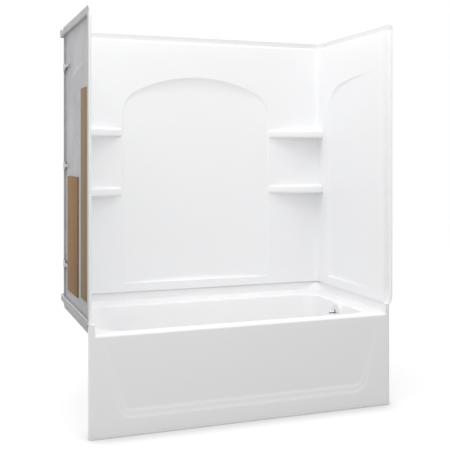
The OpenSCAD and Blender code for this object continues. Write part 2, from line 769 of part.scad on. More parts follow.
// Elbow behind the overflow: flange, throat, chamber with a closed top and a socket for the tube
module overflow_elbow() color([0.78, 0.78, 0.74]) difference() {
    union() {
        along_overflow(x_flange) cylinder(r = over_flange_r, h = over_flange_t);
        for (s = [-1, 1]) translate([0, s * screw_y, 0]) along_overflow(x_flange)
            cylinder(r = 4.6, h = 11);
        along_overflow(x_flange) cylinder(r = chamber_r + 4, h = pipe_x - x_flange);
        translate([pipe_x, basin_yc, elbow_hub_z + nut_grip + 4])
            cylinder(r = chamber_r + 4, h = over_z + 32 - elbow_hub_z - nut_grip - 4);
        translate([pipe_x, basin_yc, elbow_hub_z]) cylinder(r = hub_r, h = nut_grip + 5);
    }
    along_overflow(x_flange - 1) cylinder(r = chamber_r, h = pipe_x - x_flange + 1);
    translate([pipe_x, basin_yc, elbow_hub_z + hub_stop + 4])
        cylinder(r = chamber_r, h = over_z + 28 - elbow_hub_z - hub_stop - 4);
    translate([pipe_x, basin_yc, elbow_hub_z - 1]) cylinder(r = socket_r, h = hub_stop + 1);
    translate([pipe_x, basin_yc, elbow_hub_z]) cylinder(r = bore_r, h = hub_stop + 5);
    for (s = [-1, 1]) translate([0, s * screw_y, 0]) along_overflow(x_flange - 1)
        cylinder(r = screw_r + slip, h = 14);
}

// Trip lever: turned handle, neck, hub on the pin, arm and cross pin
module trip_lever() color([0.8, 0.8, 0.82]) difference() {
    neck = 3;
    hub = 7;
    half_y = 4;
    union() {
        // handle, turned about X, clear of the plate when it swings
        along_overflow(x_boss - plate_t - 6) rotate([180, 0, 0]) rotate_extrude() {
            difference() {
                square([handle_r, handle_l]);
                translate([handle_r, handle_l]) rotate(180) corner_cut(handle_r - 1);
                translate([handle_r, 0]) rotate(90) corner_cut(2.5);
            }
        }
        translate([lever_x - 24, basin_yc - half_y, over_z - neck]) cube([24, 2 * half_y, 2 * neck]);
        translate([lever_x, basin_yc - half_y, over_z]) rotate([-90, 0, 0])
            cylinder(r = hub, h = 2 * half_y);
        translate([lever_x, basin_yc - half_y, over_z - neck]) cube([arm_l, 2 * half_y, 2 * neck]);
        translate([pipe_x, basin_yc - half_y, over_z]) rotate([-90, 0, 0])
            cylinder(r = neck + 1, h = 2 * half_y);
        translate([pipe_x, basin_yc - 8, over_z]) rotate([-90, 0, 0]) cylinder(r = cross_r, h = 16);
    }
    translate([lever_x, basin_yc - 20, over_z]) rotate([-90, 0, 0]) cylinder(r = pin_r + run, h = 40);
}
cross_r = 2.2;

module lever_pin() color([0.7, 0.7, 0.72])
    translate([lever_x, basin_yc - 9, over_z]) rotate([-90, 0, 0]) cylinder(r = pin_r, h = 18);

// Bent strip behind the plate that rubs on the lever's hub and holds it where it is put
module lever_spring() color([0.6, 0.6, 0.62])
    translate([x_boss, basin_yc + 3, over_z]) rotate([90, 0, 0]) linear_extrude(6)
        polygon([[0, 15.5], [0.8, 15.5], [lever_x - x_boss - 1, 7.3], [lever_x - x_boss + 1.5, 7.3],
            [lever_x - x_boss + 1.5, 8.1], [lever_x - x_boss - 0.6, 8.1], [0.8, 16.6], [0.8, 23], [0, 23]]);

// Lift rod with the stirrup that the cross pin drives
module lift_rod() color([0.76, 0.62, 0.3]) {
    in_y = 4 + air + 0.2;
    out_y = in_y + 2.4;
    foot = -18;
    slot_h = cross_r + 0.7;
    slot_l = arm_l * (1 - cos(lever_swing)) + cross_r + 0.6;
    translate([pipe_x, basin_yc, over_z]) {
        for (s = [0, 1]) mirror([0, s, 0]) difference() {
            translate([-slot_l - 3.5, in_y, foot]) cube([slot_l + 9.5, out_y - in_y, 8 - foot]);
            translate([-slot_l, in_y - 1, -slot_h]) cube([slot_l + cross_r + 0.8, out_y, 2 * slot_h]);
        }
        translate([-slot_l - 3.5, -out_y, foot]) cube([slot_l + 9.5, 2 * out_y, 3]);
    }
    rod_z = plunger_z + plunger_l - bridge_t - 2;
    translate([pipe_x, basin_yc, rod_z]) cylinder(r = rod_r, h = over_z + foot + 1 - rod_z);
}

// Brass plunger at mid travel: it closes the branch at the bottom and clears it at the top
lift = arm_l * lever_swing * PI / 180;
plunger_z = seat_z + air + lift;
bridge_t = 6;
module plunger() color([0.76, 0.62, 0.3]) translate([pipe_x, basin_yc, plunger_z]) difference() {
    union() {
        // hollow body, so that the overflow's water runs through it
        rotate_extrude() difference() {
            translate([plunger_r - 4, 0]) square([4, plunger_l]);
            translate([plunger_r, 0]) rotate(90) corner_cut(1.5);
            translate([plunger_r, plunger_l]) rotate(180) corner_cut(2.5);
            for (z = [9, 21]) translate([plunger_r - 1, z]) square([2, 3]);
        }
        // bridge that takes the rod
        translate([2 - plunger_r, -4, plunger_l - bridge_t - 2]) cube([2 * plunger_r - 4, 8, bridge_t]);
    }
    translate([0, 0, plunger_l - bridge_t - 3]) cylinder(r = rod_r, h = bridge_t + 2);
}
module rod_lock_nut() color([0.76, 0.62, 0.3])
    translate([pipe_x, basin_yc, plunger_z + plunger_l - 2]) difference() {
        cylinder(r = 4.6, h = 3.2, $fn = 6);
        translate([0, 0, -1]) cylinder(r = rod_r, h = 6);
    }

// Tube between two heights
module tube_up(z0, z1) {
    translate([pipe_x, basin_yc, z0]) difference() {
        cylinder(r = tube_r, h = z1 - z0);
        translate([0, 0, -1]) cylinder(r = bore_r, h = z1 - z0 + 2);
    }
}
module overflow_tube() color([0.85, 0.85, 0.82])
    tube_up(tee_z + tee_up - hub_stop + air, elbow_hub_z + hub_stop - air);
// Tailpiece, a little slimmer where the slip nut and the tee take it
module tailpiece() color([0.85, 0.85, 0.82]) difference() {
    tube_up(outlet_clear, tee_z - tee_down + tail_socket - air);
    translate([pipe_x, basin_yc, tail_end]) difference() {
        cylinder(r = tube_r + 1, h = far);
        translate([0, 0, -1]) cylinder(r = tube_r - tail_neck, h = far + 2);
    }
}

// Waste tee: upright run with a branch towards the drain
module waste_tee() color([0.78, 0.78, 0.74]) translate([pipe_x, basin_yc, tee_z]) difference() {
    union() {
        translate([0, 0, -tee_down]) cylinder(r = hub_r, h = tee_up + tee_down);
        rotate([0, -90, 0]) cylinder(r = hub_r, h = tee_side);
    }
    // run, narrowed to the plunger's seat above the tailpiece
    translate([0, 0, -tee_down - 1]) cylinder(r = seat_r, h = tee_up + tee_down + 2);
    translate([0, 0, seat_z - tee_z]) cylinder(r = bore_r, h = tee_up + tee_down);
    rotate([0, -90, 0]) cylinder(r = bore_r, h = tee_side + 1);
    translate([0, 0, tee_up - hub_stop]) cylinder(r = socket_r, h = hub_stop + 1);
    translate([0, 0, -tee_down - 1]) cylinder(r = socket_r, h = tail_socket + 1);
    rotate([0, -90, 0]) translate([0, 0, tee_side - hub_stop]) cylinder(r = socket_r, h = hub_stop + 1);
}

// Places of the four compression joints: the origin is the hub's end, +Z points off the hub
module at_hubs() {
    translate([pipe_x, basin_yc, tee_z + tee_up]) children();
    translate([pipe_x, basin_yc, tee_z - tee_down]) rotate([180, 0, 0]) children();
    translate([pipe_x - tee_side, basin_yc, tee_z]) rotate([0, -90, 0]) children();
    translate([pipe_x, basin_yc, elbow_hub_z]) rotate([180, 0, 0]) children();
}
module slip_nuts() color([0.9, 0.9, 0.88]) at_hubs() difference() {
    translate([0, 0, -nut_grip]) union() {
        cylinder(r = nut_r, h = nut_l - 4, $fn = 8);
        cylinder(r = nut_r - 3, h = nut_l);
    }
    translate([0, 0, -nut_grip - 1]) cylinder(r = hub_r + slip, h = nut_grip + washer_t + 1 + slip);
    translate([0, 0, 0]) cylinder(r = tube_r + air, h = nut_l);
}
module slip_washers() color([0.2, 0.2, 0.2]) at_hubs() difference() {
    cylinder(r = hub_r - air, h = washer_t);
    translate([0, 0, -1]) cylinder(r = socket_r, h = washer_t + 2);
}

module shoe_tube() color([0.85, 0.85, 0.82])
    translate([drain_x + shoe_end - hub_stop + air, basin_yc, tee_z]) rotate([0, 90, 0]) difference() {
        cylinder(r = tube_r, h = pipe_x - tee_side - drain_x - shoe_end + 2 * (hub_stop - air));
        translate([0, 0, -1]) cylinder(r = bore_r, h = big);
    }

// Drain shoe: threaded cup under the basin with a socket towards the tee
module drain_shoe() color([0.78, 0.78, 0.74]) translate([drain_x, basin_yc, 0]) difference() {
    union() {
        translate([0, 0, shoe_foot]) cylinder(r = body_r + 5, h = shoe_top - shoe_foot);
        translate([0, 0, shoe_top - shoe_flange_t]) cylinder(r = body_r + 13, h = shoe_flange_t);
        translate([0, 0, tee_z]) rotate([0, 90, 0]) cylinder(r = hub_r, h = shoe_end);
    }
    translate([0, 0, shoe_foot + 4]) cylinder(r = body_r + slip, h = shoe_top);
    translate([0, 0, tee_z]) rotate([0, 90, 0]) cylinder(r = bore_r, h = shoe_end + 1);
    translate([shoe_end - hub_stop, 0, tee_z]) rotate([0, 90, 0]) cylinder(r = socket_r, h = hub_stop + 1);
}

module drain_gasket() color([0.15, 0.15, 0.15]) translate([drain_x, basin_yc, shoe_top]) difference() {
    cylinder(r = body_r + 13, h = drain_gasket_t);
    translate([0, 0, -1]) cylinder(r = drain_hole_r, h = drain_gasket_t + 2);
}

// Drain body: flange in the basin floor, threaded throat and a cross that takes the grid's screw
module drain_body() color([0.8, 0.8, 0.82]) translate([drain_x, basin_yc, 0]) difference() {
    union() {
        difference() {
            union() {
                translate([0, 0, floor_h - flange_t])
                    cylinder(r1 = drain_flange_r, r2 = drain_flange_r - 2, h = flange_t);
                translate([0, 0, shoe_top - 20]) cylinder(r = body_r, h = floor_h - shoe_top + 18);
            }
            translate([0, 0, shoe_top - 21]) cylinder(r = body_r - 3, h = big);
        }
        for (a = [0, 90]) rotate([0, 0, a]) translate([2.5 - body_r, -1.5, shoe_top - 12])
            cube([2 * body_r - 5, 3, 6]);
        translate([0, 0, shoe_top - 14]) cylinder(r = 5, h = 10);
    }
    translate([0, 0, shoe_top - 15]) cylinder(r = screw_r + slip, h = 20);
    // seat of the strainer grid
    translate([0, 0, floor_h - 1.6]) cylinder(r = grid_r + air, h = 4);
}
grid_r = 27;

module strainer_grid() color([0.8, 0.8, 0.82]) translate([drain_x, basin_yc, floor_h - 1.6]) difference() {
    cylinder(r = grid_r, h = 2);
    for (ring = [[9, 6], [15, 12], [21, 16]]) for (i = [0 : ring[1] - 1])
        rotate([0, 0, i * 360 / ring[1]]) translate([ring[0], 0, -1]) cylinder(r = 2.1, h = 4, $fn = 20);
    translate([0, 0, -1]) cylinder(r = screw_r + slip, h = 4);
}
module strainer_screw() color([0.8, 0.8, 0.82]) translate([drain_x, basin_yc, 0]) difference() {
    union() {
        translate([0, 0, floor_h + 0.4]) cylinder(r1 = 5, r2 = 3.4, h = 1.8);
        translate([0, 0, shoe_top - 12]) cylinder(r = screw_r, h = floor_h + 0.5 - shoe_top + 12);
    }
    translate([-6, -0.5, floor_h + 1.2]) cube([12, 1, 2]);
}

bathtub();
back_wall();
left_end_wall();
right_end_wall();
left_tall_backer();
left_short_backer();
right_tall_backer();
right_short_backer();
left_joint_clips();
right_joint_clips();
floor_support_board();
support_feet();
overflow_plate();
overflow_screws();
overflow_gasket();
overflow_elbow();
trip_lever();
lever_pin();
lever_spring();
lift_rod();
rod_lock_nut();
plunger();
overflow_tube();
waste_tee();
slip_nuts();
slip_washers();
shoe_tube();
drain_shoe();
drain_gasket();
drain_body();
strainer_grid();
strainer_screw();
tailpiece();
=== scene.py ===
"""Looks of an alcove bath and shower unit: moulded tub and walls, wood backers, chrome trim."""

import json
import math

import bpy
import bmesh
from mathutils import Matrix, Vector


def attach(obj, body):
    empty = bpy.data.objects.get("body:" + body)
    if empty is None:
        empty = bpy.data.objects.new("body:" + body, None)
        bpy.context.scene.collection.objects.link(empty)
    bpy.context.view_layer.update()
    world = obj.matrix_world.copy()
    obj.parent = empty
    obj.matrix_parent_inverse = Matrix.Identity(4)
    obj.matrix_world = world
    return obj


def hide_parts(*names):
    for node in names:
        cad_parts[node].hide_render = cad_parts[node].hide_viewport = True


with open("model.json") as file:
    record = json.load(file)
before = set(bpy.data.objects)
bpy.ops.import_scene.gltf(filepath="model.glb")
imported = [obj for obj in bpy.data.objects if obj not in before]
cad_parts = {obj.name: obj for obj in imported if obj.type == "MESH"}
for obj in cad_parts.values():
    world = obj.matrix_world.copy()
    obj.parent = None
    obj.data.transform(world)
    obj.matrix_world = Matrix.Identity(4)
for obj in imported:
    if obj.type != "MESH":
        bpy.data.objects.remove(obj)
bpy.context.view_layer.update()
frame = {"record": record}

MM = 0.001

# Sizes of the moulding, in mm
SHELL = 5.0                    # wall thickness of every moulded shell
FACE_X, FACE_Y = 740.0, 384.5  # room faces of the end walls and of the back wall
CORNER_R = 25.0
JOINT_Y = 306.0                # where the end walls meet the back wall's wings
JOINT_EDGE = ((3.0, 0.0), (1.5, 0.4), (0.4, 1.5))   # rounding of both joint edges: setback and run
LEDGE_Z, STEP_Z, TOP_Z = 506.0, 1873.0, 1905.0
FLANGE_OUT = 17.0              # room side of the nailing flange, outboard of the room face
EDGE_R = 8.0
FOOT_R = 5.0                   # rounded foot of the walls
APRON_Y = -393.5
RIM_Z = 457.0
MERGE = 0.02                   # points closer than this are one
SHARP = math.radians(35)       # edges that turn more than this stay sharp


# Node trees
class Val:
    """A socket in an expression; its operators add Math nodes."""

    def __init__(self, nodes, out):
        self.nodes, self.out = nodes, out

    def math(self, operation, other):
        return self.nodes.node("ShaderNodeMath", {"operation": operation}, {0: self, 1: other})

    def __add__(self, other):
        return self.math("ADD", other)

    def __sub__(self, other):
        return self.math("SUBTRACT", other)

    def __mul__(self, other):
        return self.math("MULTIPLY", other)

    def __truediv__(self, other):
        return self.math("DIVIDE", other)

    def __rsub__(self, other):
        return self.nodes.node("ShaderNodeMath", {"operation": "SUBTRACT"}, {0: other, 1: self})

    __radd__ = __add__

    def clamp(self):
        return self.math("MAXIMUM", 0.0).math("MINIMUM", 1.0)

    def part(self, name):
        return Val(self.nodes, self.out.node.outputs[name])


class Nodes:
    """A node tree; one call adds a node with its settings and its sockets' values or links."""

    def __init__(self, tree):
        self.tree = tree

    def node(self, kind, settings, values, output=0):
        n = self.tree.nodes.new(kind)
        for key, value in settings.items():
            if key == "stops":
                elements = n.color_ramp.elements
                while len(elements) < len(value):
                    elements.new(0.5)
                for element, (position, colour) in zip(elements, value):
                    element.position, element.color = position, (*colour, 1.0)
            else:
                setattr(n, key, value)
        for key, value in values.items():
            for item in value if isinstance(value, list) else [value]:
                if isinstance(item, Val):
                    self.tree.links.new(item.out, n.inputs[key])
                else:
                    n.inputs[key].default_value = item
        return Val(self, n.outputs[output])

    def end(self, kind, value):
        """The tree's output node, fed by a value."""
        self.tree.links.new(value.out, self.tree.nodes.new(kind).inputs[0])


class Finish(Nodes):
    """A procedural material built round one Principled shader."""

    def __init__(self, name, **fixed):
        self.material = bpy.data.materials.new(name)
        self.material.use_nodes = True
        super().__init__(self.material.node_tree)
        self.shader = next(n for n in self.tree.nodes if n.type == "BSDF_PRINCIPLED")
        for socket, value in fixed.items():
            self.shader.inputs[socket.replace("_", " ")].default_value = value
        self.place = self.node("ShaderNodeTexCoord", {}, {}, "Object")

    def height(self):
        """How high a point lies on the piece, in m."""
        return self.node("ShaderNodeSeparateXYZ", {}, {0: self.place}, "Z")

    def stretched(self, scale):
        return self.node("ShaderNodeMapping", {}, {"Vector": self.place, "Scale": scale})

    def noise(self, scale, detail, rough=0.5, place=None, distortion=0.0):
        return self.node("ShaderNodeTexNoise", {}, {
            "Vector": place or self.place, "Scale": scale, "Detail": detail,
            "Roughness": rough, "Distortion": distortion})

    def blend(self, factor, first, second):
        first, second = ((*c, 1.0) if isinstance(c, tuple) else c for c in (first, second))
        return self.node("ShaderNodeMix", {"data_type": "RGBA"}, {0: factor, 6: first, 7: second}, 2)

    def ramp(self, value, *stops):
        return self.node("ShaderNodeValToRGB", {"stops": stops}, {0: value})

    def feed(self, **sockets):
        for socket, value in sockets.items():
            self.tree.links.new(value.out, self.shader.inputs[socket.replace("_", " ")])
        return self

    def bump(self, height, distance, strength):
        normal = self.node("ShaderNodeBump", {}, {
            "Height": height, "Distance": distance, "Strength": strength})
        return self.feed(Normal=normal)


# Mesh making
def add_object(name, data):
    """A new object in the scene."""
    made = bpy.data.objects.new(name, data)
    bpy.context.scene.collection.objects.link(made)
    return made


def to_mesh(name, bm):
    mesh = bpy.data.meshes.new(name)
    bm.to_mesh(mesh)
    bm.free()
    return mesh


def shade(mesh):
    """Smooth shading except across sharp edges."""
    mesh.shade_smooth()
    mesh.set_sharp_from_angle(angle=SHARP)


def coat(piece, *finishes):
    """Finishes of a piece, in place of any that it has."""
    piece.data.materials.clear()
    for finish in finishes:
        piece.data.materials.append(finish)


def mesh_piece(name, sheets, thickness=None, finishes=()):
    """One object from sheets of rows of points in mm.

    A thickness grows behind the visible side, and the hidden side takes the second material.
    """
    bm = bmesh.new()
    for rows, loop in sheets:
        grid = [[bm.verts.new((x * MM, y * MM, z * MM)) for x, y, z in row] for row in rows]
        for low, high in zip(grid, grid[1:]):
            count = len(low)
            for i in range(count if loop else count - 1):
                j = (i + 1) % count
                bm.faces.new((low[i], low[j], high[j], high[i]))
    bmesh.ops.remove_doubles(bm, verts=bm.verts, dist=MERGE * MM)
    bmesh.ops.dissolve_degenerate(bm, dist=MERGE / 2 * MM, edges=bm.edges)
    piece = add_object(name, to_mesh(name, bm))
    coat(piece, *finishes)
    if thickness:
        wall = piece.modifiers.new("wall", "SOLIDIFY")
        wall.thickness, wall.offset = thickness * MM, -1.0
        wall.use_even_offset = wall.use_quality_normals = True
        wall.material_offset, wall.material_offset_rim = 1, 0
    return bake(piece)


def bake(piece):
    """Modifiers become plain mesh."""
    graph = bpy.context.evaluated_depsgraph_get()
    solid = bpy.data.meshes.new_from_object(piece.evaluated_get(graph))
    piece.modifiers.clear()
    old, piece.data = piece.data, solid
    bpy.data.meshes.remove(old)
    solid.name = piece.name
    shade(solid)
    return piece


def join(name, pieces):
    """Several finished meshes become one piece."""
    bm = bmesh.new()
    slots = []
    for piece in pieces:
        own = []
        for material in piece.data.materials:
            if material not in slots:
                slots.append(material)
            own.append(slots.index(material))
        start = len(bm.faces)
        bm.from_mesh(piece.data)
        bm.faces.ensure_lookup_table()
        for face in bm.faces[start:]:
            face.material_index = own[face.material_index] if own else 0
    mesh = to_mesh(name, bm)
    for material in slots:
        mesh.materials.append(material)
    for piece in pieces:
        bpy.data.objects.remove(piece)
    shade(mesh)
    return add_object(name, mesh)


def arc(start, stop, steps):
    """Angles in radians from start to stop degrees, both included."""
    return [math.radians(start + (stop - start) * i / steps) for i in range(steps + 1)]


def spread(a, b, steps):
    """Even values from a to b."""
    return [a + (b - a) * i / steps for i in range(steps + 1)]


def ramp(f, r=0.22):
    """0 to 1 as f goes 0 to 1, with both bends rounded over r."""
    if f <= -r:
        return 0.0
    if f < r:
        return (f + r) ** 2 / (4 * r)
    if f <= 1 - r:
        return f
    if f < 1 + r:
        return 1 - (1 + r - f) ** 2 / (4 * r)
    return 1.0


def rounding(r, start, stop, steps):
    """(s, d) along a rounded edge of radius r: s is r * (1 - cos) and d is r * (1 - sin)."""
    return [(r * (1 - math.cos(a)), r * (1 - math.sin(a))) for a in arc(start, stop, steps)]


# Where a border's rows lie, closer together at its crisp start
COVES = (0.0, 0.02, 0.06, 0.11, 0.18, 0.26, 0.36, 0.48, 0.6, 0.74, 0.88, 1.0)


def cove(f, power=2):
    """0 to 1 as f goes 0 to 1: a crisp start that eases into the floor."""
    f = min(1.0, max(0.0, f))
    return 1 - (1 - f) ** power


def lathe(profile, steps, place):
    """Rows of a surface of revolution: place(radius, height, angle) gives a point."""
    rows = []
    for radius, height in profile:
        rows.append([place(radius, height, 2 * math.pi * i / steps) for i in range(steps)])
    return rows, True


def upright(x, y, z):
    """Placing function for lathe: axis straight up from a point."""
    return lambda r, h, a: (x + r * math.cos(a), y + r * math.sin(a), z + h)


def inward(x, y, z):
    """Placing function for lathe: axis along -x, from the basin's end wall into the basin."""
    return lambda r, h, a: (x - h, y + r * math.cos(a), z - r * math.sin(a))


def crosswise(x, y, z):
    """Placing function for lathe: axis along y."""
    return lambda r, h, a: (x + r * math.sin(a), y + h, z + r * math.cos(a))


def turned(name, profile, place):
    """A closed turned solid as an object of its own."""
    return mesh_piece(name, [lathe(profile, 64, place)])


def plug(name, radius, low, high, place):
    """Cylinder that cuts a round hole."""
    return turned(name, [(0, low), (radius, low), (radius, high), (0, high)], place)


def carve(piece, cutters, operation="DIFFERENCE"):
    """Exact boolean of a closed piece with closed cutters, which are used up."""
    for cutter in cutters:
        step = piece.modifiers.new("carve", "BOOLEAN")
        step.operation, step.solver, step.object = operation, "EXACT", cutter
        bake(piece)
        bpy.data.objects.remove(cutter)
    return piece


class Repeat(Nodes):
    """Geometry Nodes tree with named sizes, run on one object and made plain mesh."""

    def __init__(self, name, sizes):
        super().__init__(bpy.data.node_groups.new(name, "GeometryNodeTree"))
        self.sizes = sizes
        for way in ("OUTPUT", "INPUT"):
            self.tree.interface.new_socket("Geometry", in_out=way, socket_type="NodeSocketGeometry")
        for label, value in sizes.items():
            kind = "NodeSocketInt" if isinstance(value, int) else "NodeSocketFloat"
            self.tree.interface.new_socket(label, in_out="INPUT", socket_type=kind)
        inputs = self.tree.nodes.new("NodeGroupInput").outputs
        self.given = {socket.name: Val(self, socket) for socket in inputs if socket.name}

    def ring(self, count, radius, item, rotation=(0.0, 0.0, 0.0)):
        """An item on each point of a circle; count and radius are names of inputs."""
        circle = {"Vertices": self.given[count], "Radius": self.given[radius]}
        points = self.node("GeometryNodeMeshCircle", {}, circle)
        return self.node("GeometryNodeInstanceOnPoints", {},
                         {"Points": points, "Instance": item, "Rotation": rotation})

    def grow(self, piece, shape, material):
        """Ends the tree in real, finished mesh and bakes it into the piece."""
        solid = self.node("GeometryNodeRealizeInstances", {}, {"Geometry": shape})
        solid = self.node("GeometryNodeSetMaterial", {}, {"Geometry": solid, "Material": material})
        self.end("NodeGroupOutput", solid)
        step = piece.modifiers.new("repeat", "NODES")
        step.node_group = self.tree
        for entry in self.tree.interface.items_tree:
            if entry.in_out == "INPUT" and entry.name in self.sizes:
                step[entry.identifier] = self.sizes[entry.name]
        return bake(piece)


def softened(node, width):
    """Copy of a CAD node with its sharp edges broken, as an object of its own."""
    bm = bmesh.new()
    bm.from_mesh(bpy.data.objects[node].data)
    bmesh.ops.remove_doubles(bm, verts=bm.verts, dist=MERGE * MM)
    bmesh.ops.dissolve_limit(bm, angle_limit=math.radians(2), verts=bm.verts, edges=bm.edges)
    edges = [e for e in bm.edges if len(e.link_faces) == 2 and e.calc_face_angle(0.0) > math.radians(30)]
    bmesh.ops.bevel(bm, geom=edges, offset=width * MM, offset_type="OFFSET", segments=2,
                    profile=0.5, affect="EDGES", clamp_overlap=True)
    bmesh.ops.triangulate(bm, faces=[f for f in bm.faces if len(f.verts) > 4])
    mesh = to_mesh(node + "_piece", bm)
    shade(mesh)
    return add_object(mesh.name, mesh)


# Plan paths: each point is x, y and its outward normal
def corner(x, y, r, start, stop, steps):
    """Arc of radius r round a centre, from start to stop degrees."""
    return [(x + r * math.cos(a), y + r * math.sin(a), math.cos(a), math.sin(a))
            for a in arc(start, stop, steps)]


def room_corner(start, stop, steps):
    """Right rear corner of the room, its first point left out."""
    return corner(FACE_X - CORNER_R, FACE_Y - CORNER_R, CORNER_R, start, stop, steps)[1:]


def both_sides(half):
    """Whole path from its right half, which starts at the middle of the back."""
    return [(-x, y, -nx, ny) for x, y, nx, ny in reversed(half[1:])] + half


def room_path():
    """Wing, corner, back, corner, wing, close together at the panel's border and at the joint."""
    border = [ARCH_HALF - d for d in (77, 67, 57, 47, 37, 27, 21, 16, 12, 9, 6, 4, 2.5, 1, 0, -1, -3, -13)]
    xs = [0.0] + spread(20, 340, 16) + border + spread(470, FACE_X - CORNER_R, 6)
    half = [(x, FACE_Y, 0.0, 1.0) for x in xs] + room_corner(90, 0, 8)
    half += [(FACE_X, JOINT_Y + d, 1.0, 0.0) for d in (39, 24, 14, 10, 6, 3)]
    half += [(FACE_X + setback, JOINT_Y + run, 1.0, 0.0) for setback, run in reversed(JOINT_EDGE)]
    return both_sides(half)


# Back wall
ARCH_HALF, SILL_Z, SPRING_Z, ARCH_RISE, SHOULDER = 427.0, 553.0, 1476.0, 206.0, 140.0
SHOULDER_X = ARCH_HALF - SHOULDER
ARCH_R = (SHOULDER_X ** 2 + ARCH_RISE ** 2 - SHOULDER ** 2) / (2 * (ARCH_RISE - SHOULDER))
PANEL_D, PANEL_SIDE_D = 14.0, 3.0
SIDE_SLOPE, SILL_SLOPE, SOFFIT_SLOPE = 1.5, 1.9, 7.2   # run over depth of the panel's border
BAND_CORNER, BAND_END = 9.0, 24.0   # radius of the nailing band's inside corners and of its ends


def panel_floor(x):
    return PANEL_SIDE_D + (PANEL_D - PANEL_SIDE_D) * (1 - min(1.0, abs(x) / ARCH_HALF) ** 2)


def arch_top(x):
    """Flat top arc that meets the arcs of the shoulders."""
    x = min(abs(x), ARCH_HALF)
    if x > ARCH_R * SHOULDER_X / (ARCH_R - SHOULDER):
        return SPRING_Z + math.sqrt(max(0.0, SHOULDER ** 2 - (x - SHOULDER_X) ** 2))
    return SPRING_Z + ARCH_RISE - ARCH_R + math.sqrt(ARCH_R ** 2 - x * x)


def top_profile():
    """(off, z) from the room face over the rounded step to the top of the flange."""
    turn = [(s, STEP_Z - d) for s, d in rounding(EDGE_R, 0, 90, 8)]
    return turn + [(FLANGE_OUT - 3, STEP_Z), (FLANGE_OUT - 1, STEP_Z + 0.3), (FLANGE_OUT - 0.2, STEP_Z + 1.2),
                   (FLANGE_OUT, STEP_Z + 3), (FLANGE_OUT, STEP_Z + 16), (FLANGE_OUT, TOP_Z)]


def band_top(from_joint):
    """Height of the flange's top near the joint, where its end is rounded."""
    d = max(0.0, BAND_END - from_joint)
    return TOP_Z - (BAND_END - math.sqrt(BAND_END ** 2 - d * d))


def beyond(x, y, nx, ny, off):
    """Point off outwards of the room face; the flange's corners are tighter than the wall's."""
    if off <= EDGE_R or nx == 0 or ny == 0:
        return x + nx * off, y + ny * off
    tighten = min(1.0, (off - EDGE_R) / (FLANGE_OUT - 3 - EDGE_R))
    radius = (CORNER_R + EDGE_R) * (1 - tighten) + BAND_CORNER * tighten
    side = math.copysign(FACE_X + off - radius, x)
    return side + nx * radius, FACE_Y + off - radius + ny * radius


def back_wall_sheet():
    path = room_path()
    columns = []
    for x, y, nx, ny in path:
        on_back = ny > 0.999
        floor = panel_floor(x)
        side = ramp((ARCH_HALF - abs(x)) / (SIDE_SLOPE * PANEL_SIDE_D)) if on_back else 0.0
        top, soffit = arch_top(x), SOFFIT_SLOPE * floor
        zs = [(LEDGE_Z + 25, 0.0), (SILL_Z - 12, 0.0), (SILL_Z - 1, 0.0)]
        zs += [(SILL_Z + SILL_SLOPE * floor * f, cove(f)) for f in COVES]
        zs += [(z, 1.0) for z in spread(SILL_Z + 50, top - soffit - 15, 10)]
        zs += [(top - soffit * f, cove(f, 3)) for f in reversed(COVES)]
        zs += [(top + 1, 0.0)]
        zs += [(top + 12 + (STEP_Z - EDGE_R - top - 12) * t, 0.0) for t in (0.0, 0.35, 0.7)]
        points = [(s, LEDGE_Z + 0.3 + d) for s, d in rounding(FOOT_R, 80, 0, 5)]
        points += [(floor * side * r, z) for z, r in zs]
        from_joint = y - JOINT_Y if abs(x) >= FACE_X - 0.01 else 1e3
        for off, z in top_profile():
            points.append((off, min(z, band_top(from_joint)) if z == TOP_Z else z))
        column = []
        for off, z in points:
            if abs(x) > FACE_X and off > 0:  # rounded joint edge: keep the larger setback
                own = abs(x) - FACE_X
                column.append((math.copysign(FACE_X + max(off, own), x), y, z))
            else:
                column.append((*beyond(x, y, nx, ny, off), z))
        columns.append(column)
    return [list(row) for row in zip(*columns)], False


def sweep(inner, outer, low, high, front):
    """Bar along the U-shaped plan, from inner to outer off the room face, with both ends capped."""
    half = [(x, FACE_Y, 0.0, 1.0) for x in (0.0, FACE_X - CORNER_R)] + room_corner(90, 0, 10)
    path = both_sides(half + [(FACE_X, front, 1.0, 0.0)])
    a, b, c, d = ([(x + nx * off, y + ny * off, z) for x, y, nx, ny in path]
                  for off, z in ((inner, low), (outer, low), (outer, high), (inner, high)))
    caps = [([[b[0], a[0]], [c[0], d[0]]], False), ([[a[-1], b[-1]], [d[-1], c[-1]]], False)]
    return [([a, b, c, d, a], False)] + caps


SHELF_TOPS, SHELF_THICK, SHELF_REACH = (1073.0, 1392.0), 43.0, 312.0
SHELF_LIP, SHELF_UNDER, SHELF_FILLET = 8.0, 11.0, 6.0   # radii of the upper edge, the lower edge and the root
SHELF_SUNK = 2.0               # how far a shelf reaches into the wall


